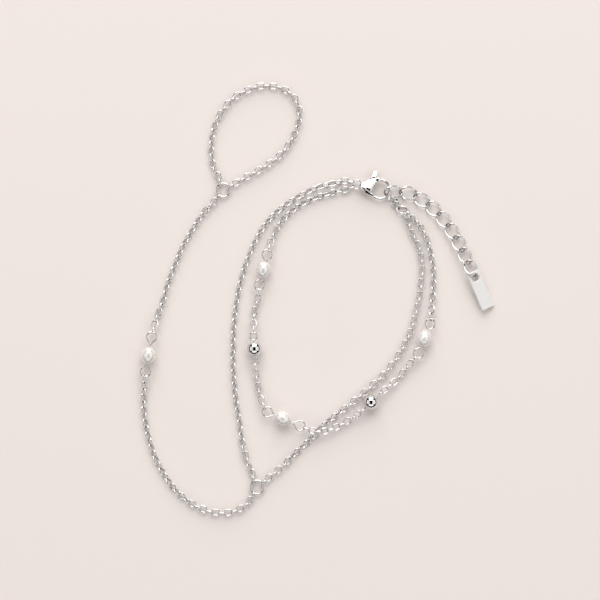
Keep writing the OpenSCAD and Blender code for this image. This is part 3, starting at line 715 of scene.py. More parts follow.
class Finishes:
    """Every finish of the jewel, built once."""

    def __init__(self) -> None:
        """Build the two groups and the materials that use them."""
        metal = metal_surface_group()
        nacre = nacre_surface_group()
        self.chain = MetalFinish("fine_chain_silver", (0.97, 0.97, 0.965, 1), (0.8, 0.8, 0.795, 1),
                                 0.03, 0.04, 0.1, 1100).material(metal)
        self.ring = MetalFinish("ring_silver", (0.93, 0.93, 0.925, 1), (0.72, 0.72, 0.715, 1),
                                0.03, 0.04, 0.1, 800).material(metal)
        self.extender = MetalFinish("extender_silver", (0.92, 0.92, 0.915, 1), (0.72, 0.72, 0.715, 1),
                                    0.03, 0.04, 0.1, 700).material(metal)
        self.clasp = MetalFinish("clasp_cast_silver", (0.9, 0.895, 0.89, 1), (0.8, 0.795, 0.79, 1),
                                 0.09, 0.08, 0.25, 500).material(metal)
        self.ball = MetalFinish("mirror_ball_steel", (0.8, 0.8, 0.8, 1), (0.75, 0.75, 0.75, 1),
                                0.03, 0.02, 0.02, 600).material(metal)
        self.tag = MetalFinish("tag_satin_silver", (0.84, 0.842, 0.838, 1), (0.79, 0.792, 0.788, 1),
                               0.34, 0.1, 0.25, 500, (1.0, 0.25, 1.0), 0.2).material(metal)
        self.pearl = NacreFinish("freshwater_pearl_nacre", (0.88, 0.86, 0.84, 1), 0.15,
                                 0.6, 0.28).material(nacre)


def dress(piece: bpy.types.Object, material: bpy.types.Material, slot: Slot, body: Body,
          *nodes: str) -> None:
    """Finish a piece and tie it to the frame.

    Args:
        piece: The piece, with its place in its mesh.
        material: Its material.
        slot: Slot named for its finish; not used.
        body: The body that it rides on.
        nodes: The CAD nodes that it stands for.
    """
    piece.data.materials.clear()
    piece.data.materials.append(material)
    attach(piece, body.value)
    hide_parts(*nodes)
    LOG.info("%s: %d faces, rides on %s, stands for %s", piece.name, len(piece.data.polygons),
             body.value, ", ".join(nodes))


# Chains


def painted_link_shade(points: Array, length: float, width: float, wire: float) -> Array:
    """Mark where the next links shade a link, on the inner side of its bends, for painted shade.

    Args:
        points: Points of the link's surface in its own frame.
        length: Outside length of the link.
        width: Outside width of the link.
        wire: Diameter of its wire.

    Returns:
        Painted shade from 0 to 1 for each point: full on the inner side of the two bends.
    """
    along = np.abs(points[:, 0])
    end = np.clip((along - (length / 2 - PAINTED_SHADE_START * wire)) / (PAINTED_SHADE_FADE * wire), 0, 1)
    radius = np.hypot(along - (length - width) / 2, np.hypot(points[:, 1], points[:, 2]))
    inner = np.clip(((width - wire) / 2 - radius) / (wire / 2) + PAINTED_SHADE_SPREAD, 0, 1)
    return end * inner


def mark(piece: bpy.types.Object, name: str, values: Array) -> None:
    """Store a value for each point of a piece, which its material reads by name."""
    marks = piece.data.attributes.new(name, "FLOAT", "POINT")
    marks.data.foreach_set("value", values.astype(np.float32))


@dataclass(frozen=True)
class Holder:
    """What a chain end holds on to: a round of wire, and where it is held at one point only."""

    centre: Array
    radius: float
    wire: float
    normal: Array
    run: Optional[Array] = None

    def gap(self) -> float:
        """Return the distance between the middles of this wire and a fine link's wire."""
        return (self.wire + LINK_WIRE) / 2 + LINK_CLEARANCE

    def at(self, point: Array, run: Array) -> "Holder":
        """Return the holder kept to one point of its wire, whose run there is given."""
        return Holder(point, self.gap(), self.wire, self.normal, run)

    def hook_point(self, toward: Sequence[float]) -> Array:
        """Return where the chain's end lies inside the wire, on the side of a point."""
        aim = unit(at_height(toward, self.centre[2]) - self.centre)
        return self.centre + (self.radius - self.gap()) * aim

    def hold_roll(self, toward: Sequence[float]) -> float:
        """Return the roll at which the first link crosses the wire."""
        out = unit(at_height(toward, 0) - at_height(self.centre, 0))
        run = np.cross(self.normal, out) if self.run is None else self.run
        return normal_roll(out, run) - 90

    def anchor_row(self, toward: Sequence[float], roll: float) -> Array:
        """Return the route's end row at the hook point."""
        p = self.hook_point(toward)
        lift = max(0.0, p[2] - float(rest_height(self.hold_roll(toward))))
        return np.array([p[0], p[1], lift, roll])


def nearest_turn(roll: float, near: float) -> float:
    """Return the roll, turned by half turns until it is nearest to another."""
    return roll + 180 * round((near - roll) / 180)


@dataclass(frozen=True)
class FineChain:
    """A fine chain of interlocking oval links between two holders."""

    name: str
    node: str
    start: Holder
    route: Array
    end: Holder

    def frames(self) -> tuple[Array, Array, float]:
        """Lay the links along the route.

        Returns:
            The links' middles, their 3 by 3 turns and their length. The link count is the
            length over the pitch, rounded, each link is a quarter turn on from the last, and
            the rolls at the two ends blend over so that the end links cross what they hold.
        """
        first_roll, last_roll = self.route[0][3], self.route[-1][3]
        rows = np.vstack([self.start.anchor_row(self.route[0], first_roll), self.route,
                          self.end.anchor_row(self.route[-1], last_roll)])
        t = np.arange((len(rows) - 1) * ROUTE_SAMPLES + 1) / ROUTE_SAMPLES
        run = running_length(self.middles(rows_at(rows, t)))
        length = run[-1]
        spare = LINK_WIRE + LINK_CLEARANCE
        count = max(2, round((length - spare) / LINK_PITCH))
        pitch = (length - spare) / count
        start_turn = nearest_turn(self.start.hold_roll(self.route[0]), first_roll) - first_roll
        crossing = 90 * ((count + 1) % 2) - self.end.hold_roll(self.route[-1])
        end_turn = nearest_turn(crossing, last_roll) - last_roll
        reach = min(length, ROLL_REACH)

        def row_for(s: Array) -> Array:
            """Return the route's row at a running length, with the end rolls blended in."""
            row = rows_at(rows, np.interp(s, run, t))
            row[:, 3] += (start_turn * np.maximum(0, 1 - s / reach)
                          + end_turn * np.maximum(0, 1 - (length - s) / reach))
            return row

        link_length = pitch + 2 * LINK_WIRE + LINK_CLEARANCE
        s = (link_length - LINK_WIRE) / 2 + np.arange(count) * pitch
        here = row_for(s)
        heading = unit(self.middles(row_for(s + pitch / 2)) - self.middles(row_for(s - pitch / 2)))
        roll = here[:, 3] + 90 * (np.arange(count) + 1)
        return self.middles(here), lie_along(heading, roll[:, None]), link_length

    @staticmethod
    def middles(rows: Array) -> Array:
        """Return the links' middles for route rows: x, y, and lift plus the rest height."""
        return np.column_stack([rows[:, 0], rows[:, 1], rows[:, 2] + rest_height(rows[:, 3])])

    def build(self, finishes: Finishes) -> None:
        """Build all links as one piece, which stands for the chain's node."""
        middles, turns, length = self.frames()
        # A wire of few sides is as thick as a round one when its area is the same.
        even = np.sqrt(2 * np.pi / (LINK_SIDES * np.sin(2 * np.pi / LINK_SIDES)))
        link = oval_link(length, LINK_WIDTH, LINK_WIRE, LINK_ARC_STEPS, LINK_SIDES, even)
        points = np.einsum("nij,pj->npi", turns, link.points) + middles[:, None, :]
        starts = np.arange(len(middles))[:, None, None] * len(link.points)
        quads = (link.quads[None] + starts).reshape(-1, 4)
        piece = new_object(self.name, [Shell(points.reshape(-1, 3), quads)])
        # Painted shade on the inner side of each link's bends, where the next links shade it.
        painted_recess_shade = painted_link_shade(link.points, length, LINK_WIDTH, LINK_WIRE)
        mark(piece, "painted_recess_shade", np.tile(painted_recess_shade, len(middles)))
        dress(piece, finishes.chain, Slot.CHAIN, Body.JEWEL, self.node)


# Pearls, balls and links


@dataclass(frozen=True)
class Pearl:
    """A drilled freshwater pearl on a wire pin with an eye at both ends."""

    number: int
    x: float
    y: float
    heading: float
    necks: tuple[float, float]
    length: float = 3.9
    width: float = 3.2
    taper: float = 0.06
    eye_diameter: float = 2.6
    eye_wire: float = 0.38
    # Height of each slow wave of the skin, and its turns round and along the pearl
    waves: tuple = ((0.012, 2, 0), (0.01, 3, 2), (0.012, 0, 4), (0.006, 5, -3))
    wave_sink: float = 0.012
    rim_width: float = 0.32
    skin_steps: int = 60
    skin_sides: int = 72
    bore_steps: int = 14
    # The skin starts at the bore's angle times the first and ends the second, in radians, early
    skin_start: float = 1.02
    skin_end: float = 0.13
    # An eye's wire leaves the pearl at the start point, follows the neck's points, given as
    # shares of its length and distances to the side, and goes round to the last angle
    neck_start: tuple[float, float] = (0.06, -0.13)
    neck_points: tuple = ((0.3, -0.14), (0.75, -0.2))
    eye_angle: float = 128.0
    neck_out: float = 0.05
    # Thickness of the wire in the neck, what it gains by the eye, and over what length
    neck_thickness: tuple[float, float] = (0.72, 0.28)
    slim_reach: float = 0.9
    eye_steps: int = 96
    pin_overlap: float = 0.1

    def centre(self) -> Array:
        """Return the pearl's middle, half its width above the table."""
        return np.array([self.x, self.y, self.width / 2])

    def reach(self, end: int) -> float:
        """Return the distance from the middle to the middle of an eye."""
        return self.length / 2 + self.necks[end] + self.eye_diameter / 2

    def eye(self, end: int) -> Holder:
        """Return the eye at the end 0 or 1 as a holder."""
        return Holder(self.centre() + (2 * end - 1) * self.reach(end) * plan(self.heading),
                      (self.eye_diameter - self.eye_wire) / 2, self.eye_wire, TABLE_UP)

    def skin(self) -> Shell:
        """Build the pearl's surface.

        Returns:
            A closed shell about X. The radius is half the width times the sine of the angle,
            slimmer at one end by the taper, down to the bore, and swells by a few slow waves
            that differ from pearl to pearl. The bore's own wall closes it.
        """
        first = np.arcsin(BORE_RADIUS / (self.width / 2)) * self.skin_start
        a = np.linspace(first, np.pi - self.skin_end, self.skin_steps)
        x = -self.length / 2 * np.cos(a)
        radius = np.maximum(BORE_RADIUS, self.width / 2 * np.sin(a) * (1 + self.taper * np.cos(a)))
        depth = np.linspace(x[-1], x[0], self.bore_steps)[1:-1]
        wall = np.column_stack([depth, np.full(len(depth), BORE_RADIUS)])
        profile = np.vstack([np.column_stack([x, radius]), wall])
        phase = np.random.default_rng(40 + self.number).uniform(0, 2 * np.pi, len(self.waves))

        def swell(x: Array, angle: Array) -> Array:
            """Return slow waves round and along the pearl, none of them at the bore."""
            along = x / self.length * 2
            calm = np.clip(1 - along ** 4, 0, 1)
            total = sum(height * np.sin(round_turns * angle + along_turns * along + start)
                        for (height, round_turns, along_turns), start in zip(self.waves, phase))
            return calm * (total - self.wave_sink)

        return revolved(profile[::-1], self.skin_sides, swell)

    def eye_wire_shell(self, end: int) -> Shell:
        """Bend one eye from a length of wire.

        Args:
            end: The end 0 or 1.

        Returns:
            A tube that leaves the pearl as one half of the neck, opens into the round of the
            eye and comes back as the other half, a little slimmer in the neck.
        """
        bend = (self.eye_diameter - self.eye_wire) / 2
        middle = self.reach(end)
        start = self.length / 2 + self.neck_out
        a = np.radians(np.linspace(-self.eye_angle, self.eye_angle, 33))
        round_part = np.column_stack([middle + bend * np.cos(a), bend * np.sin(a)])
        neck = np.array([[start + self.neck_start[0], self.neck_start[1]]]
                        + [[start + share * self.necks[end], side] for share, side in self.neck_points])
        corners = np.vstack([neck, round_part, neck[::-1] * [1, -1]])
        rows = np.column_stack([corners, np.zeros(len(corners))])
        path = rows_at(rows, np.linspace(0, len(rows) - 1, self.eye_steps))
        slim = np.clip((path[:, 0] - start) / (self.necks[end] + self.slim_reach), 0, 1)
        thin, gain = self.neck_thickness
        radius = self.eye_wire / 2 * (thin + gain * ease(slim))
        out = path - np.array([middle, 0, 0])
        shell = swept(path, out, radius, PIN_SIDES, False)
        return shell if end == 1 else shell.moved(np.diag([-1.0, -1.0, 1.0]), np.zeros(3))

    def build(self, finishes: Finishes) -> None:
        """Build the pearl and its eye pin."""
        turn = lie_along(plan(self.heading), 0)
        skin = self.skin()
        piece = new_object(f"pearl_{self.number}_nacre", [skin.moved(turn, self.centre())])
        edge = np.hypot(skin.points[:, 1], skin.points[:, 2])
        mark(piece, "hole_rim", np.clip(1 - (edge - BORE_RADIUS) / self.rim_width, 0, 1) ** 1.5)
        dress(piece, finishes.pearl, Slot.PEARL, Body.JEWEL, f"pearl_{self.number}")
        wires = [straight_pin(self.length / 2 + self.pin_overlap, 4), self.eye_wire_shell(0),
                 self.eye_wire_shell(1)]
        pin = new_object(f"pearl_{self.number}_eyes", [w.moved(turn, self.centre()) for w in wires])
        dress(pin, finishes.ring, Slot.CHAIN, Body.JEWEL, f"eye_pin_{self.number}")


@dataclass(frozen=True)
class SteelBall:
    """A mirror-polished drilled ball on a pin with small eyes."""

    number: int
    x: float
    y: float
    heading: float
    eye_roll: float
    diameter: float = 3.4
    eye_diameter: float = 2.0
    eye_wire: float = 0.34
    neck: float = 0.1
    skin_steps: int = 90
    skin_sides: int = 96
    # The lip of a mouth: its width, and its points by their depth and height over the bore
    lip_width: float = 0.08
    lip_points: tuple = ((0.01, 0.03), (0.05, 0.005))
    bore_inset: float = 0.1
    bore_steps: int = 10

    def centre(self) -> Array:
        """Return the ball's middle, half its diameter above the table."""
        return np.array([self.x, self.y, self.diameter / 2])

    def reach(self) -> float:
        """Return the distance from the ball's middle to the middle of an eye."""
        return self.diameter / 2 + self.neck + self.eye_diameter / 2

    def eye(self, end: int) -> Holder:
        """Return the eye at the end 0 or 1 as a holder."""
        return Holder(self.centre() + (2 * end - 1) * self.reach() * plan(self.heading),
                      (self.eye_diameter - self.eye_wire) / 2, self.eye_wire,
                      roll_normal(plan(self.heading), self.eye_roll))

    def skin(self) -> Shell:
        """Build the drilled ball.

        Returns:
            A closed shell about X: a circle's arc from one mouth of the bore to the other,
            with the lip of each mouth rounded in, and the bore's wall.
        """
        radius = self.diameter / 2
        lip = np.arcsin((BORE_RADIUS + self.lip_width) / radius)
        a = np.linspace(lip, np.pi - lip, self.skin_steps)
        arc = np.column_stack([-radius * np.cos(a), radius * np.sin(a)])
        mouth = arc[-1, 0]
        turn_in = np.array([[mouth - deep, BORE_RADIUS + high] for deep, high in self.lip_points])
        depth = np.linspace(mouth - self.bore_inset, -mouth + self.bore_inset, self.bore_steps)
        wall = np.column_stack([depth, np.full(len(depth), BORE_RADIUS)])
        profile = np.vstack([arc, turn_in, wall, turn_in[::-1] * [-1, 1]])
        return revolved(profile[::-1], self.skin_sides)

    def build(self, finishes: Finishes) -> None:
        """Build the ball and its pin."""
        flat = lie_along(plan(self.heading), 0)
        piece = new_object(f"ball_{self.number}_steel", [self.skin().moved(flat, self.centre())])
        dress(piece, finishes.ball, Slot.BALL, Body.JEWEL, f"ball_{self.number}")
        rolled = lie_along(plan(self.heading), self.eye_roll)
        ring = round_wire(self.eye_diameter, self.eye_wire, 40, 12)
        half = self.reach() - (self.eye_diameter - self.eye_wire) / 2
        shells = [straight_pin(half, 6).moved(rolled, self.centre())]
        for end in (0, 1):
            shells.append(ring.moved(rolled, self.eye(end).centre))
        wires = new_object(f"ball_{self.number}_eyes", shells)
        dress(wires, finishes.ring, Slot.CHAIN, Body.JEWEL, f"ball_pin_{self.number}")


@dataclass(frozen=True)
class JoinLink:
    """An oval link of thicker wire between two pieces."""

    node: str
    centre: Array
    heading: Array
    roll: float
    length: float = JOIN_LENGTH

    @classmethod
    def hung(cls, node: str, holder: Holder, toward: Sequence[float], roll: float) -> "JoinLink":
        """Hang a link inside a holder, heading towards a point and slightly down."""
        aim = unit(at_height(toward, holder.centre[2]) - holder.centre)
        aim = np.array([aim[0], aim[1], -JOIN_DROP])
        inner = holder.radius - (holder.wire + JOIN_WIRE) / 2 - LINK_CLEARANCE
        reach = inner + (JOIN_LENGTH - JOIN_WIRE) / 2
        return cls(node, holder.centre + reach * aim, unit(aim), roll)

    def far_holder(self) -> Holder:
        """Return the link's far end as a holder."""
        return Holder(self.centre + (self.length - JOIN_WIDTH) / 2 * self.heading,
                      (JOIN_WIDTH - JOIN_WIRE) / 2, JOIN_WIRE, roll_normal(self.heading, self.roll))

    def build(self, finishes: Finishes) -> None:
        """Build the link, which stands for its node."""
        link = oval_link(self.length, JOIN_WIDTH, JOIN_WIRE)
        turned = link.moved(lie_along(self.heading, self.roll), self.centre)
        piece = new_object(f"{self.node}_wire", [turned])
        # Painted shade on the inner side of the link's bends.
        mark(piece, "painted_recess_shade", painted_link_shade(link.points, self.length, JOIN_WIDTH, JOIN_WIRE))
        dress(piece, finishes.ring, Slot.CHAIN, Body.JEWEL, self.node)


@dataclass(frozen=True)
class RoundRing:
    """A closed ring of round wire."""

    node: str
    centre: Array
    turn: Array
    diameter: float
    wire: float

    def build(self, finishes: Finishes) -> None:
        """Build the ring, which stands for its node."""
        shell = round_wire(self.diameter, self.wire).moved(self.turn, self.centre)
        piece = new_object(f"{self.node}_wire", [shell])
        dress(piece, finishes.ring, Slot.CHAIN, Body.JEWEL, self.node)


# Clasp


@dataclass(frozen=True)
class Clasp:
    """The lobster clasp, in its own frame from the tail to the hook."""

    cheek_outline: tuple = (
        (0, 0), (0.03, 0.14), (0.22, 0.33), (0.5, 0.56), (0.77, 0.7), (1, 0.69),
        (1, 0.55), (0.87, 0.43), (0.78, 0.25), (0.73, 0.03), (0.68, -0.2), (0.63, -0.29),
        (0.46, -0.22), (0.31, -0.2), (0.26, -0.29), (0.12, -0.22), (0.02, -0.1))
    crown: tuple[float, float] = (0.59, 0.24)
    hook_root: tuple[float, float] = (0.86, 0.54)
    hook_root_angle: float = 120.0
    hook_end_angle: float = 248.0
    gate_tip_angle: float = 234.0
    pivot: tuple[float, float] = (0.43, 0.0)
    heel: tuple[float, float] = (0.41, -0.28)
    elbow: tuple[float, float] = (0.545, -0.27)
    thumb: tuple[float, float] = (0.64, 0.62)
    thumb_tip: tuple[float, float] = (0.68, 0.95)
    slot_start: float = 0.295
    slot_end: float = 0.805
    face_height: float = 1.22
    face_fall: float = 0.25
    face_dome: float = 0.035
    face_low: float = 0.52
    face_high: float = 1.35
    tab_lean: float = 0.26
    pivot_radius: float = 0.52
    gate_radius: float = 0.33
    thumb_radius: float = 0.62
    thumb_tip_radius: float = 0.46
    # The hook's wire starts inside the cheek and thins from its root over these angles
    root_overlap: float = 8.0
    root_swell: float = 0.25
    swell_end: float = 78.0
    swell_span: float = 50.0
    outline_steps: int = 8
    cheek_rings: int = 24
    hook_steps: int = 64
    hook_sides: int = 20
    arm_points: int = 17
    arm_rings: int = 12
    # The casts are melted on grids of these sizes, then softened
    body_voxel: float = 0.045
    lever_voxel: float = 0.04
    soften_rounds: int = 3

    @staticmethod
    def place(share: Sequence[float]) -> Array:
        """Return a point of the clasp's plan from its shares of the cheek's length and width."""
        return np.array([share[0] * CHEEK_LENGTH, share[1] * CHEEK_WIDTH])

    def hook_centre(self) -> Array:
        """Return the middle of the hook's round, from the hook's root."""
        return self.place(self.hook_root) - self.hook_radius() * plan(self.hook_root_angle)[:2]

    @staticmethod
    def hook_radius() -> float:
        """Return the radius of the middle of the hook's wire."""
        return (HOOK_DIAMETER - HOOK_WIRE) / 2

    @staticmethod
    def world(p: Sequence[float]) -> Array:
        """Return a plan point of the clasp's frame in the jewel's frame, at mid thickness."""
        along, left = plan(CLASP_HEADING), plan(CLASP_HEADING + 90)
        return at_height(CLASP_AT, CLASP_THICKNESS / 2) + p[0] * along + p[1] * left

    @staticmethod
    def set_down(shell: Shell) -> Shell:
        """Return a shell of the clasp's frame in the jewel's frame."""
        return shell.moved(lie_along(plan(CLASP_HEADING), 0), at_height(CLASP_AT, CLASP_THICKNESS / 2))

    @staticmethod
    def ring_place() -> Array:
        """Return the tail ring's middle in the clasp's plan, in its own bore in the tail."""
        return np.array([TAIL_MARGIN + TAIL_CLEARANCE + TAIL_RING_WIRE / 2 - TAIL_RING_RADIUS,
                         TAIL_RING_SIDE])

    def ring_centre(self) -> Array:
        """Return the tail ring's middle in the jewel's frame."""
        return self.world(self.ring_place())

    def tail_hold(self, angle: float) -> Holder:
        """Return the tail ring held at an angle round it, from its far side."""
        along = plan(CLASP_HEADING)
        normal = roll_normal(along, TAIL_RING_ROLL)
        roll, turn = np.radians(TAIL_RING_ROLL), np.radians(angle)
        across = np.cos(roll) * np.cross(TABLE_UP, along) + np.sin(roll) * TABLE_UP
        ring = Holder(self.ring_centre(), TAIL_RING_RADIUS, TAIL_RING_WIRE, normal)
        inner = ring.radius - ring.gap()
        return ring.at(self.ring_centre() + inner * (np.sin(turn) * across - np.cos(turn) * along),
                       np.sin(turn) * along + np.cos(turn) * across)

    def outline(self) -> Array:
        """Return the closed smooth outline of the cheek, counter-clockwise."""
        corners = np.array([self.place(share) for share in self.cheek_outline])[::-1]
        n = len(corners)
        steps = np.arange(self.outline_steps) / self.outline_steps
        rows = [hermite(corners[i], corners[(i + 1) % n],
                        slope(corners[i - 1], corners[i], corners[(i + 1) % n]),
                        slope(corners[i], corners[(i + 1) % n], corners[(i + 2) % n]), steps[:, None])
                for i in range(n)]
        return np.vstack(rows)

    def cheek_height(self, points: Array, share: Array) -> Array:
        """Return the cheek's half thickness, a sloping dome that rounds down at its edge.

        Args:
            points: Plan points.
            share: Their share of the way from the crown to the edge.

        Returns:
            A face that falls evenly towards the thumb's side and bulges a little along the
            clasp, times the cube root of one less the share to the eighth, which turns the
            edge over.
        """
        up = np.radians(-CLASP_HEADING)
        towards = points @ np.array([np.sin(up), np.cos(up)])
        across = points @ np.array([np.cos(up), -np.sin(up)]) - self.place(self.crown)[0]
        face = self.face_height - self.face_fall * towards - self.face_dome * across ** 2
        return np.clip(face, self.face_low, self.face_high) * np.clip(1 - share ** 8, 0, 1) ** (1 / 3)

    def hook_shell(self) -> Shell:
        """Bend the hook's wire round its circle.

        Returns:
            A tube from inside the cheek round to the hook's end, thicker at its root.
        """
        a = np.linspace(self.hook_root_angle + self.root_overlap, self.hook_end_angle - 360,
                        self.hook_steps)
        turn = np.radians(a)
        out = np.column_stack([np.cos(turn), np.sin(turn), 0 * turn])
        path = out * self.hook_radius() + at_height(self.hook_centre(), 0)
        root = np.clip((a - self.swell_end) / self.swell_span, 0, 1)
        radius = HOOK_WIRE / 2 * (1 + self.root_swell * ease(root))
        return swept(path, out, radius, self.hook_sides, False)

    @staticmethod
    def box(low: Sequence[float], high: Sequence[float]) -> Shell:
        """Return a plain box between two corners, used only to cut."""
        x0, y0, z0 = low
        x1, y1, z1 = high
        points = np.array([[x0, y0, z0], [x1, y0, z0], [x1, y1, z0], [x0, y1, z0],
                           [x0, y0, z1], [x1, y0, z1], [x1, y1, z1], [x0, y1, z1]], float)
        quads = np.array([[0, 3, 2, 1], [4, 5, 6, 7], [0, 1, 5, 4],
                          [1, 2, 6, 5], [2, 3, 7, 6], [3, 0, 4, 7]])
        return Shell(points, quads)

    def arm(self, start: Array, start_radius: float, end: Array, end_radius: float,
            lean: float = 0.0) -> Shell:
        """Make one arm of the lever.

        Args:
            start: Middle of its first round end.
            start_radius: Radius of that end.
            end: Middle of its second round end.
            end_radius: Radius of that end.
            lean: How steeply its upper face falls from the first end to the second.

        Returns:
            A plate with rounded edges: two half circles joined by straight sides.
        """
        heading = np.arctan2(*(end - start)[::-1])
        a = np.linspace(np.pi / 2, 3 * np.pi / 2, self.arm_points) + heading
        b = np.linspace(-np.pi / 2, np.pi / 2, self.arm_points) + heading
        edge = np.vstack([start + start_radius * np.column_stack([np.cos(a), np.sin(a)]),
                          end + end_radius * np.column_stack([np.cos(b), np.sin(b)])])
        plate = pillow(edge, (start + end) / 2,
                       lambda p, share: LEVER_THICKNESS / 2 * np.clip(1 - share ** 5, 0, 1) ** 0.28,
                       self.arm_rings)
        fall = (plate.points[:, :2] - start) @ unit(end - start) * lean
        plate.points[:, 2] -= np.where(plate.points[:, 2] > 0, fall, 0)
        return plate

    def build(self, finishes: Finishes) -> None:
        """Build the body, the lever and the tail ring, and finish the rivet."""
        cheek = pillow(self.outline(), self.place(self.crown), self.cheek_height, self.cheek_rings)
        cheek.points[:, 2] = np.maximum(cheek.points[:, 2], -CLASP_THICKNESS / 2)
        slot_cut = self.box((self.slot_start * CHEEK_LENGTH, -CHEEK_WIDTH, -SLOT_HEIGHT / 2),
                            (self.slot_end * CHEEK_LENGTH, 2 * CHEEK_WIDTH, SLOT_HEIGHT / 2))
        play = 2 * TAIL_CLEARANCE
        bore = round_wire(TAIL_RING_DIAMETER + play, TAIL_RING_WIRE + play)
        bore = bore.moved(lie_along(plan(0), TAIL_RING_ROLL), at_height(self.ring_place(), 0))
        body = fused("clasp_casting", [cheek, self.hook_shell()], self.body_voxel, self.soften_rounds,
                     [slot_cut, bore])
        dress(new_object("clasp_cheeks_and_hook", [self.set_down(body)]), finishes.clasp, Slot.CLASP,
              Body.JEWEL, "clasp_body")
        tip = self.hook_centre() + self.hook_radius() * plan(self.gate_tip_angle)[:2]
        pivot, heel, elbow = self.place(self.pivot), self.place(self.heel), self.place(self.elbow)
        thumb, thumb_tip = self.place(self.thumb), self.place(self.thumb_tip)
        arms = [self.arm(pivot, self.pivot_radius, heel, self.gate_radius),
                self.arm(heel, self.gate_radius, tip, HOOK_WIRE / 2),
                self.arm(pivot, self.pivot_radius, elbow, self.gate_radius),
                self.arm(pivot, self.pivot_radius, thumb, self.thumb_radius),
                self.arm(thumb, self.thumb_radius, thumb_tip, self.thumb_tip_radius, self.tab_lean)]
        lever = fused("lever_casting", arms, self.lever_voxel, self.soften_rounds)
        dress(new_object("clasp_gate_lever", [self.set_down(lever)]), finishes.clasp, Slot.CLASP,
              Body.LEVER, "clasp_lever")
        RoundRing("tail_ring", self.ring_centre(), lie_along(plan(CLASP_HEADING), TAIL_RING_ROLL),
                  TAIL_RING_DIAMETER, TAIL_RING_WIRE).build(finishes)
        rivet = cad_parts["clasp_rivet"]
        for material_slot in rivet.material_slots:
            material_slot.material = finishes.clasp


# Extender


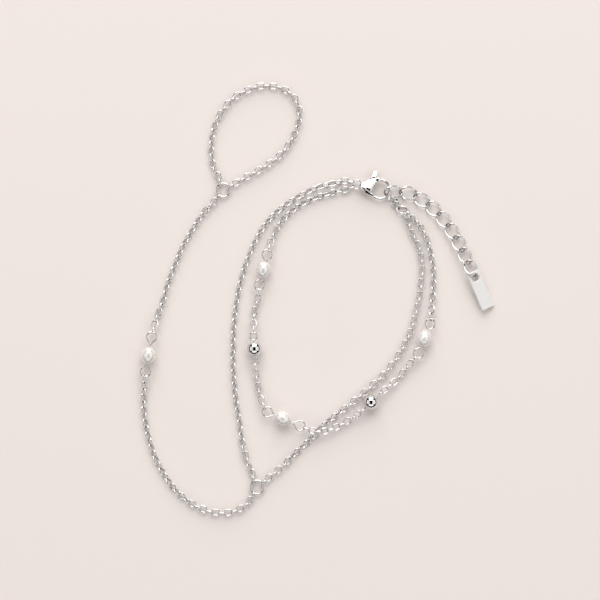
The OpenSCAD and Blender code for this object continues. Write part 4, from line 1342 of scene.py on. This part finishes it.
@dataclass(frozen=True)
class Extender:
    """Nine twisted oval links, three connector links and the bar tag."""

    route: Array
    hook_slack: float = 1.15
    connector_angle: float = -100.0
    carrier_plain_angle: float = -95.0
    carrier_bead_angle: float = -42.0
    connectors: tuple = (
        (0.15, -0.14, 0.15, -5, -30, -20),
        (0.3, -0.5, -0.1, -55, -10, 40),
        (0.55, -0.4, -0.05, -10, -10, -25))
    link_steps: int = 64
    link_sides: int = 14

    @staticmethod
    def half() -> float:
        """Return half the length of a link's wire middle."""
        return (EXTENDER_LENGTH - EXTENDER_WIRE) / 2

    @classmethod
    def twisted(cls, angle: Array) -> Array:
        """Return points of a twisted link's wire middle.

        Args:
            angle: Angles round the link.

        Returns:
            The oval's x, and its y turned about x by the twist, which runs from plus to minus
            along the link as the cosine of the angle does.
        """
        a = np.radians(angle)
        y = (EXTENDER_WIDTH - EXTENDER_WIRE) / 2 * np.sin(a)
        t = np.radians(-EXTENDER_TWIST * np.cos(a))
        return np.stack([cls.half() * np.cos(a), y * np.cos(t), y * np.sin(t)], axis=-1)

    @classmethod
    def lie(cls, roll: float) -> float:
        """Return the height of a link's middle when it lies on the table at a roll."""
        p = cls.twisted(np.arange(0, 360, 5.0))
        turn = np.radians(roll)
        return EXTENDER_WIRE / 2 + float(np.max(p[:, 1] * np.sin(turn) + p[:, 2] * np.cos(turn)))

    @staticmethod
    def roll(i: int) -> float:
        """Return a link's roll, which opens the first to the hook and the last to the tag."""
        share = 2 * i / (EXTENDER_COUNT - 1) - 1
        return (EXTENDER_FIRST_ROLL * max(0, 1 - i / EXTENDER_ROLL_FADE)
                + EXTENDER_LAST_ROLL * max(0, share) ** 2)

    def frames(self, clasp: Clasp) -> list[tuple[Array, Array, float]]:
        """Return each link's middle, heading and roll along the extender's route."""
        reach = clasp.hook_radius() - self.hook_slack + self.half()
        start = clasp.world(clasp.hook_centre() + [reach, 0])
        first = [start[0], start[1], CLASP_THICKNESS / 2 - self.lie(EXTENDER_FIRST_ROLL)]
        rows = np.vstack([first, self.route])
        flat = self.lie(0)
        t = np.arange((len(rows) - 1) * ROUTE_SAMPLES + 1) / ROUTE_SAMPLES
        run = running_length(rows_at(rows, t) + [0, 0, flat])
        pitch = EXTENDER_LENGTH - 2 * EXTENDER_WIRE - EXTENDER_CLEARANCE
        gaps = pitch - EXTENDER_SLACK * ease(np.arange(EXTENDER_COUNT - 1) / (EXTENDER_COUNT - 2))
        s = np.concatenate([[0.0], np.cumsum(gaps)])

        def point(s: Array) -> Array:
            """Return the line of the links' middles at a running length."""
            return rows_at(rows, np.interp(s, run, t)) + [0, 0, flat]

        middles = point(s)
        headings = unit(point(s + pitch / 2) - point(np.maximum(0, s - pitch / 2)))
        rolls = [self.roll(i) for i in range(EXTENDER_COUNT)]
        middles[:, 2] += [self.lie(roll) - flat for roll in rolls]
        return list(zip(middles, headings, rolls))

    def link_shell(self) -> Shell:
        """Return one twisted link in its own frame."""
        angle = np.arange(self.link_steps) * 360 / self.link_steps
        path = self.twisted(angle)
        return swept(path, path * [0.4, 1, 1], EXTENDER_WIRE / 2, self.link_sides, True)

    def links(self, clasp: Clasp) -> list[JoinLink]:
        """Return the three connector links, the last of which carries the right strands."""
        centre, heading, roll = self.frames(clasp)[0]
        place = centre + lie_along(heading, roll) @ self.twisted(np.array(self.connector_angle))
        made = []
        for i, (x, y, z, turn, pitch, own_roll) in enumerate(self.connectors):
            place = place + JOIN_LENGTH * np.array([x, y, z])
            tilt = np.radians(pitch)
            aim = plan(turn) * np.cos(tilt) + TABLE_UP * np.sin(tilt)
            made.append(JoinLink(f"connector_link_{i + 1}", place, aim, own_roll,
                                 CARRIER_LENGTH if i == 2 else JOIN_LENGTH))
        return made

    def carrier_hold(self, clasp: Clasp, angle: float) -> Holder:
        """Return the carrier's far end held at an angle round it, from its heading."""
        link = self.links(clasp)[-1]
        carrier, heading = link.far_holder(), link.heading
        side = np.cross(carrier.normal, heading)
        turn = np.radians(angle)
        inner = carrier.radius - carrier.gap()
        return carrier.at(carrier.centre + inner * (np.cos(turn) * heading + np.sin(turn) * side),
                          np.cos(turn) * side - np.sin(turn) * heading)

    def build(self, finishes: Finishes, clasp: Clasp) -> None:
        """Build the nine links, the three connector links and the tag."""
        shell = self.link_shell()
        frames = self.frames(clasp)
        # Painted shade on the inner side of each link's bends, where the next links shade it.
        painted_recess_shade = painted_link_shade(shell.points, EXTENDER_LENGTH, EXTENDER_WIDTH, EXTENDER_WIRE)
        for i, (middle, heading, roll) in enumerate(frames):
            placed = shell.moved(lie_along(heading, roll), middle)
            piece = new_object(f"extender_link_{i + 1}_wire", [placed])
            mark(piece, "painted_recess_shade", painted_recess_shade)
            dress(piece, finishes.extender, Slot.CHAIN, Body.JEWEL, f"extender_link_{i + 1}")
        for link in self.links(clasp):
            link.build(finishes)
        middle, heading, _ = frames[-1]
        Tag().build(finishes, middle + self.half() * heading, heading)


@dataclass(frozen=True)
class Tag:
    """The bare bar tag with a hole near one end."""

    length: float = 9.0
    width: float = 3.1
    thickness: float = 0.7
    hole: float = 1.85
    margin: float = 0.45
    corner: float = 0.3
    bevel_depth: float = 0.1
    bevel_width: float = 0.28
    roll: float = -14.0
    corner_points: int = 9
    even_steps: int = 100
    # The plate's edge faces away from a line between these distances from the hole and the end
    spine_start: float = -0.8
    spine_margin: float = 2.2
    bevel_angles: tuple = (0, 30, 60, 90)
    face_shares: tuple = (0.03, 0.3, 0.7, 0.97)

    def outline(self) -> Array:
        """Return the plate's rounded outline, one point a ray from the hole's middle."""
        inset = self.margin + self.hole / 2
        x = np.array([-1.0, 1, 1, -1]) * (self.length / 2 - self.corner) + self.length / 2 - inset
        y = np.array([-1.0, -1, 1, 1]) * (self.width / 2 - self.corner)
        turns = np.radians([[-180, -90], [-90, 0], [0, 90], [90, 180]])
        parts = []
        for cx, cy, (a, b) in zip(x, y, turns):
            t = np.linspace(a, b, self.corner_points)
            parts.append(np.column_stack([cx + self.corner * np.cos(t), cy + self.corner * np.sin(t)]))
        loop = np.vstack(parts + [parts[0][:1]])
        run = running_length(loop)
        even = np.linspace(0, run[-1], self.even_steps, endpoint=False)
        # The start is in both lists, and the end of the last corner is left to the even steps.
        stops = np.sort(np.concatenate([even, run[:-4]]))
        return np.column_stack([np.interp(stops, run, loop[:, 0]), np.interp(stops, run, loop[:, 1])])

    def shell(self) -> Shell:
        """Build the plate.

        Returns:
            A closed shell whose profile runs from the hole's wall over the top face to the
            edge and back under, with a rounded bevel at every edge. Each ray goes from the
            hole's circle to the outline.
        """
        edge = self.outline()
        angle = np.arctan2(edge[:, 1], edge[:, 0])
        circle = self.hole / 2 * np.column_stack([np.cos(angle), np.sin(angle)])
        spine = np.clip(edge[:, 0], self.spine_start, self.length - self.spine_margin)
        out = unit(edge - np.column_stack([spine, 0 * angle]))
        half, b, wide = self.thickness / 2, self.bevel_depth, self.bevel_width
        round_steps = np.radians(self.bevel_angles)
        rows = []
        for t in round_steps:
            inset = wide * (1 - np.cos(t))
            rows.append((edge - out * inset, half - b + b * np.sin(t)))
        top_edge = rows[-1][0]
        rim = circle * (1 + wide / (self.hole / 2))
        for share in self.face_shares:
            rows.append((top_edge + (rim - top_edge) * share, half))
        for t in round_steps[::-1]:
            widened = 1 + wide * (1 - np.cos(t)) / (self.hole / 2)
            rows.append((circle * widened, half - b + b * np.sin(t)))
        upper = [np.column_stack([p, np.full(len(p), z)]) for p, z in rows]
        lower = [p * [1, 1, -1] for p in upper[::-1]]
        grid = np.stack(upper + lower)
        count, cols = grid.shape[:2]
        return Shell(grid.reshape(-1, 3), grid_quads(count, cols, True, True))

    def build(self, finishes: Finishes, hook: Array, heading: Array) -> None:
        """Hang the tag by its hole on the last link, rolled a little, one far corner on the table."""
        inset = self.margin + self.hole / 2
        turn = np.radians(self.roll)
        rest = self.thickness / 2 * np.cos(turn) + self.width / 2 * abs(np.sin(turn))
        tilt = np.arcsin((hook[2] - rest) / (self.length - inset))
        level = unit(at_height(heading, 0))
        along = level * np.cos(tilt) - TABLE_UP * np.sin(tilt)
        shell = self.shell().moved(lie_along(along, self.roll), hook)
        piece = new_object("extender_tag_plate", [shell])
        dress(piece, finishes.tag, Slot.TAG, Body.JEWEL, "extender_tag")


# Studio


@dataclass(frozen=True)
class Softbox:
    """A soft rectangular lamp, aimed at the jewel."""

    name: str
    azimuth: float
    elevation: float
    distance: float
    width: float
    height: float
    power: float
    colour: tuple[float, float, float] = (1.0, 0.98, 0.96)

    def build(self) -> None:
        """Set up the lamp."""
        lamp = bpy.data.lights.new(self.name, "AREA")
        lamp.shape = "RECTANGLE"
        lamp.size = self.width
        lamp.size_y = self.height
        lamp.energy = self.power
        lamp.color = self.colour
        holder = bpy.data.objects.new(self.name, lamp)
        up = np.radians(self.elevation)
        away = plan(self.azimuth) * np.cos(up) + TABLE_UP * np.sin(up)
        # A lamp shines down its own -Z, so its +Z points away from the jewel.
        level = plan(self.azimuth + 90)
        turn = np.stack([level, np.cross(away, level), away], axis=1)
        matrix = np.eye(4)
        matrix[:3, :3] = turn
        matrix[:3, 3] = away * self.distance
        holder.matrix_world = Matrix(matrix.tolist())
        bpy.context.scene.collection.objects.link(holder)


@dataclass(frozen=True)
class Studio:
    """The pale table, the soft lamps and the camera."""

    view_width: float = 0.135
    camera_height: float = 0.7
    centre: tuple[float, float] = (-0.00384, -0.00009)
    sensor: float = 36.0
    table_reach: float = 1.5
    table_points: int = 9
    table_drop: float = 0.00001

    def table(self) -> None:
        """Build the pale table top with the faint unevenness of coated paper."""
        material = bpy.data.materials.new("pale_table")
        material.use_nodes = True
        tree = material.node_tree
        shader = tree.nodes["Principled BSDF"]
        place = add_node(tree, "TexCoord").outputs["Object"]
        cloud = add_node(tree, "TexNoise", {"Vector": place, "Scale": 9.0})
        paper = mixed(tree, cloud.outputs["Fac"], (0.86, 0.795, 0.765, 1), (0.87, 0.805, 0.775, 1))
        feed(shader, {"Base Color": paper, "Roughness": 0.55, "Specular IOR Level": 0.3})
        grid = np.linspace(-self.table_reach, self.table_reach, self.table_points)
        x, y = np.meshgrid(grid, grid, indexing="ij")
        points = np.stack([x, y, 0 * x - self.table_drop], axis=2).reshape(-1, 3)
        quads = grid_quads(self.table_points, self.table_points, False, False)[:, ::-1]
        mesh = bpy.data.meshes.new("table")
        mesh.from_pydata(points.tolist(), [], quads.tolist())
        mesh.materials.append(material)
        table = bpy.data.objects.new("table", mesh)
        bpy.context.scene.collection.objects.link(table)

    def camera(self) -> None:
        """Set the camera straight above the table, with a long lens."""
        lens = bpy.data.cameras.new("portrait")
        lens.sensor_width = self.sensor
        lens.lens = self.sensor * self.camera_height / self.view_width
        eye = bpy.data.objects.new("portrait", lens)
        eye.location = (self.centre[0], self.centre[1], self.camera_height)
        bpy.context.scene.collection.objects.link(eye)
        bpy.context.scene.camera = eye

    def light(self) -> None:
        """Set four softboxes round the jewel and a dim room, shown in plain contrast."""
        bpy.context.scene.view_settings.view_transform = "Standard"
        world = bpy.data.worlds.new("dim_room")
        world.use_nodes = True
        feed(world.node_tree.nodes["Background"], {"Color": (0.9, 0.93, 1.0, 1), "Strength": 0.006})
        bpy.context.scene.world = world
        for box in (Softbox("softbox_top", 90, 35, 1.5, 1.6, 1.5, 27.5),
                    Softbox("softbox_left", 180, 43, 1.5, 1.65, 1.4, 6.7),
                    Softbox("softbox_right", 0, 43, 1.5, 1.65, 1.4, 7.7),
                    Softbox("softbox_bottom", -90, 41, 1.5, 1.9, 0.9, 6.4)):
            box.build()

    def build(self) -> None:
        """Build the table, the lamps and the camera."""
        self.table()
        self.light()
        self.camera()


# The jewel


@dataclass(frozen=True)
class HandChainBracelet:
    """The whole jewel: where its pieces lie and how its chains run."""

    finger_ring_at: tuple[float, float] = (-21.1, 24.6)
    palm_ring_at: tuple[float, float] = (-13.5, -42.2)
    pearls: tuple = (
        (-37.9, -12.6, -100, (1, 0.4)), (-12.1, 6.6, -104.5, (0.3, 0.2)),
        (-7.7, -26.7, -22.5, (0.5, 1)), (24.1, -8.7, 68.5, (0.4, 0.25)))
    balls: tuple = ((-14.1, -11, -87, 0), (12.1, -23, 44, 90))
    link_roll: float = 68.0
    tail_plain_angle: float = 24.0
    tail_bead_angle: float = -36.0

    finger_loop: tuple = (
        (-22.1, 27.4, 0, -45), (-23.2, 29.8, 0, -45), (-23.7, 32.8, 0, -45), (-23.7, 35.6, 0, -45),
        (-23, 39, 0, -30), (-21.2, 42.5, 0, 0), (-18.7, 45.3, 0, 0), (-15.6, 47.1, 0, 0),
        (-13, 47.9, 0, 0), (-10.4, 48, 0, 0), (-7.9, 47.5, 0, 0), (-5.5, 45.8, 0, 0),
        (-4.2, 43.6, 0, 20), (-3.9, 41.2, 0, 30), (-4.7, 38, 0, 30), (-6.3, 34.9, 0, 0),
        (-8.9, 31.9, 0, 0), (-11.9, 29.8, 0, 0), (-15, 28, 0, 0), (-17.9, 26.4, 0, 0))
    hand_upper: tuple = (
        (-23.1, 22.1, 0, 0), (-25.7, 19.2, 0, 30), (-27.9, 15.8, 0, 45), (-30, 12.3, 0, 45),
        (-31.8, 8, 0, 45), (-33.5, 3.7, 0, 45), (-34.8, -1, 0, 45), (-35.9, -3.8, 0.1, 45),
        (-36.6, -6.1, 0.6, 45))
    hand_lower: tuple = (
        (-38.9, -21, 0.25, 45), (-39, -23.9, 0, 45), (-38.3, -29, 0, 45), (-36.9, -34.2, 0, 45),
        (-34.3, -39.4, 0, 45), (-30.9, -43.7, 0, 30), (-26.8, -46.6, 0, 0), (-23.1, -47.8, 0, 0),
        (-20.1, -47.9, 0, 0), (-17.7, -47.2, 0, 0), (-15.7, -45.8, 0, 0))
    plain_left: tuple = (
        (6.5, 26.7, 0.2, 20), (4.4, 26.3, 0, 45), (0.1, 25.2, 0, 45), (-4.2, 23.1, 0, 45),
        (-8, 20.5, 0, 45), (-11.1, 17.5, 0, 45), (-13.5, 13.8, 0, 45), (-15.5, 9.3, 0, 45),
        (-17.1, 4.3, 0, 45), (-18.2, -1.5, 0, 45), (-18.8, -7.7, 0, 45), (-18.9, -13.6, 0, 45),
        (-18.6, -19.6, 0, 45), (-17.5, -27.3, 0, 45), (-16.1, -35.1, 0, 45), (-14.5, -39.2, 0, 0))
    plain_right: tuple = (
        (-10.8, -40, 0, 0), (-8.6, -38.2, 0, 0), (-4.3, -34, 0, 30), (-1.2, -31.1, 0, 45),
        (1.2, -28.5, 0, 45), (5.1, -25.3, 0, 20), (8.9, -22.3, 0, 0), (14.8, -17, 0, 0),
        (18.2, -12.7, 0, 0), (20.8, -7.7, 0, 0), (22.4, -2.2, 0, 0), (23.4, 3.2, 0, 0),
        (23.6, 7.5, 0, 0), (23, 11.5, 0, 0), (21.4, 14.9, 0, 0))
    bead_routes: tuple = (
        ((7.3, 25, 0.2, -45), (5.3, 24.5, 0, -45), (1.9, 23.6, 0, -45), (-2.4, 22, 0, -45),
         (-5.5, 20, 0, -45), (-8, 17.5, 0, -45), (-9.5, 15, 0.05, -45), (-10.5, 12.7, 0.35, -45)),
        ((-13.4, 0, 0.45, 45), (-13.9, -1.9, 0.05, 45), (-14.2, -3.8, 0.1, 45), (-14.3, -5.8, 0.55, 45)),
        ((-13.8, -16, 0.6, 45), (-13.5, -18.2, 0.15, 45), (-13.1, -20.2, 0.05, 45),
         (-12.6, -22.4, 0.35, 45)),
        ((-1.7, -29.2, 1.05, 20), (0.3, -29.6, 1.3, 20), (2.3, -29.4, 1, 20), (4.3, -28.6, 0.5, 20),
         (6.3, -27.6, 0.3, 20), (8.3, -26.3, 0.6, 20)),
        ((15.2, -20.2, 0.85, 45), (17.5, -18.3, 0.2, 45), (19.1, -16.6, 0.1, 45),
         (20.5, -14.9, 0.4, 45)),
        ((25.8, -1, 0.25, 45), (26.1, 1.9, 0, 45), (26.2, 4.5, 0, 45), (26.1, 7.1, 0, 45),
         (25.7, 9.7, 0, 45), (25.1, 12, 0, 30), (24.3, 14.4, 0, 0), (23.2, 16.4, 0, 0)))
    extender_route: tuple = (
        (20.9, 23.8, 0.1), (24, 22.1, 0), (26.7, 19.9, 0), (28.9, 17.4, 0), (30.8, 14.6, 0),
        (32.3, 11.7, 0), (33.6, 9, 0), (35, 5.9, 0.1), (36.3, 2.4, 0.2))

    def build(self, finishes: Finishes) -> None:
        """Build every piece of the jewel, from the clasp out to the chains."""
        clasp = Clasp()
        clasp.build(finishes)
        extender = Extender(np.array(self.extender_route))
        extender.build(finishes, clasp)
        height = float(rest_height(0)) - LINK_CLEARANCE / 2
        middle = (RING_DIAMETER - RING_WIRE) / 2
        finger = Holder(at_height(self.finger_ring_at, height), middle, RING_WIRE, TABLE_UP)
        palm = Holder(at_height(self.palm_ring_at, height), middle, RING_WIRE, TABLE_UP)
        for node, holder in (("finger_ring", finger), ("palm_ring", palm)):
            RoundRing(node, holder.centre, np.eye(3), RING_DIAMETER, RING_WIRE).build(finishes)
        pearls = [Pearl(i + 1, *row) for i, row in enumerate(self.pearls)]
        balls = [SteelBall(i + 1, *row) for i, row in enumerate(self.balls)]
        for bead in pearls + balls:
            bead.build(finishes)
        hand_link = JoinLink.hung("hand_link", pearls[0].eye(1), self.hand_lower[0], self.link_roll)
        bead_link = JoinLink.hung("bead_link", pearls[3].eye(1), self.bead_routes[5][0], self.link_roll)
        hand_link.build(finishes)
        bead_link.build(finishes)
        runs = [
            ("finger_loop_chain", finger, self.finger_loop, finger),
            ("hand_chain_upper", finger, self.hand_upper, pearls[0].eye(0)),
            ("hand_chain_lower", hand_link.far_holder(), self.hand_lower, palm),
            ("plain_chain_left", clasp.tail_hold(self.tail_plain_angle), self.plain_left, palm),
            ("plain_chain_right", palm, self.plain_right,
             extender.carrier_hold(clasp, extender.carrier_plain_angle)),
        ]
        ends = [(clasp.tail_hold(self.tail_bead_angle), pearls[1].eye(0)),
                (pearls[1].eye(1), balls[0].eye(0)), (balls[0].eye(1), pearls[2].eye(0)),
                (pearls[2].eye(1), balls[1].eye(0)), (balls[1].eye(1), pearls[3].eye(0)),
                (bead_link.far_holder(), extender.carrier_hold(clasp, extender.carrier_bead_angle))]
        for i, (route, (start, end)) in enumerate(zip(self.bead_routes, ends)):
            runs.append((f"bead_chain_{i + 1}", start, route, end))
        for node, start, route, end in runs:
            FineChain(f"{node}_links", node, start, np.array(route, float), end).build(finishes)


def main() -> None:
    """Build the finishes, the jewel and the studio."""
    logging.basicConfig(level=logging.INFO, format="%(name)s: %(message)s")
    Studio().build()
    HandChainBracelet().build(Finishes())


if __name__ == "__main__":
    main()
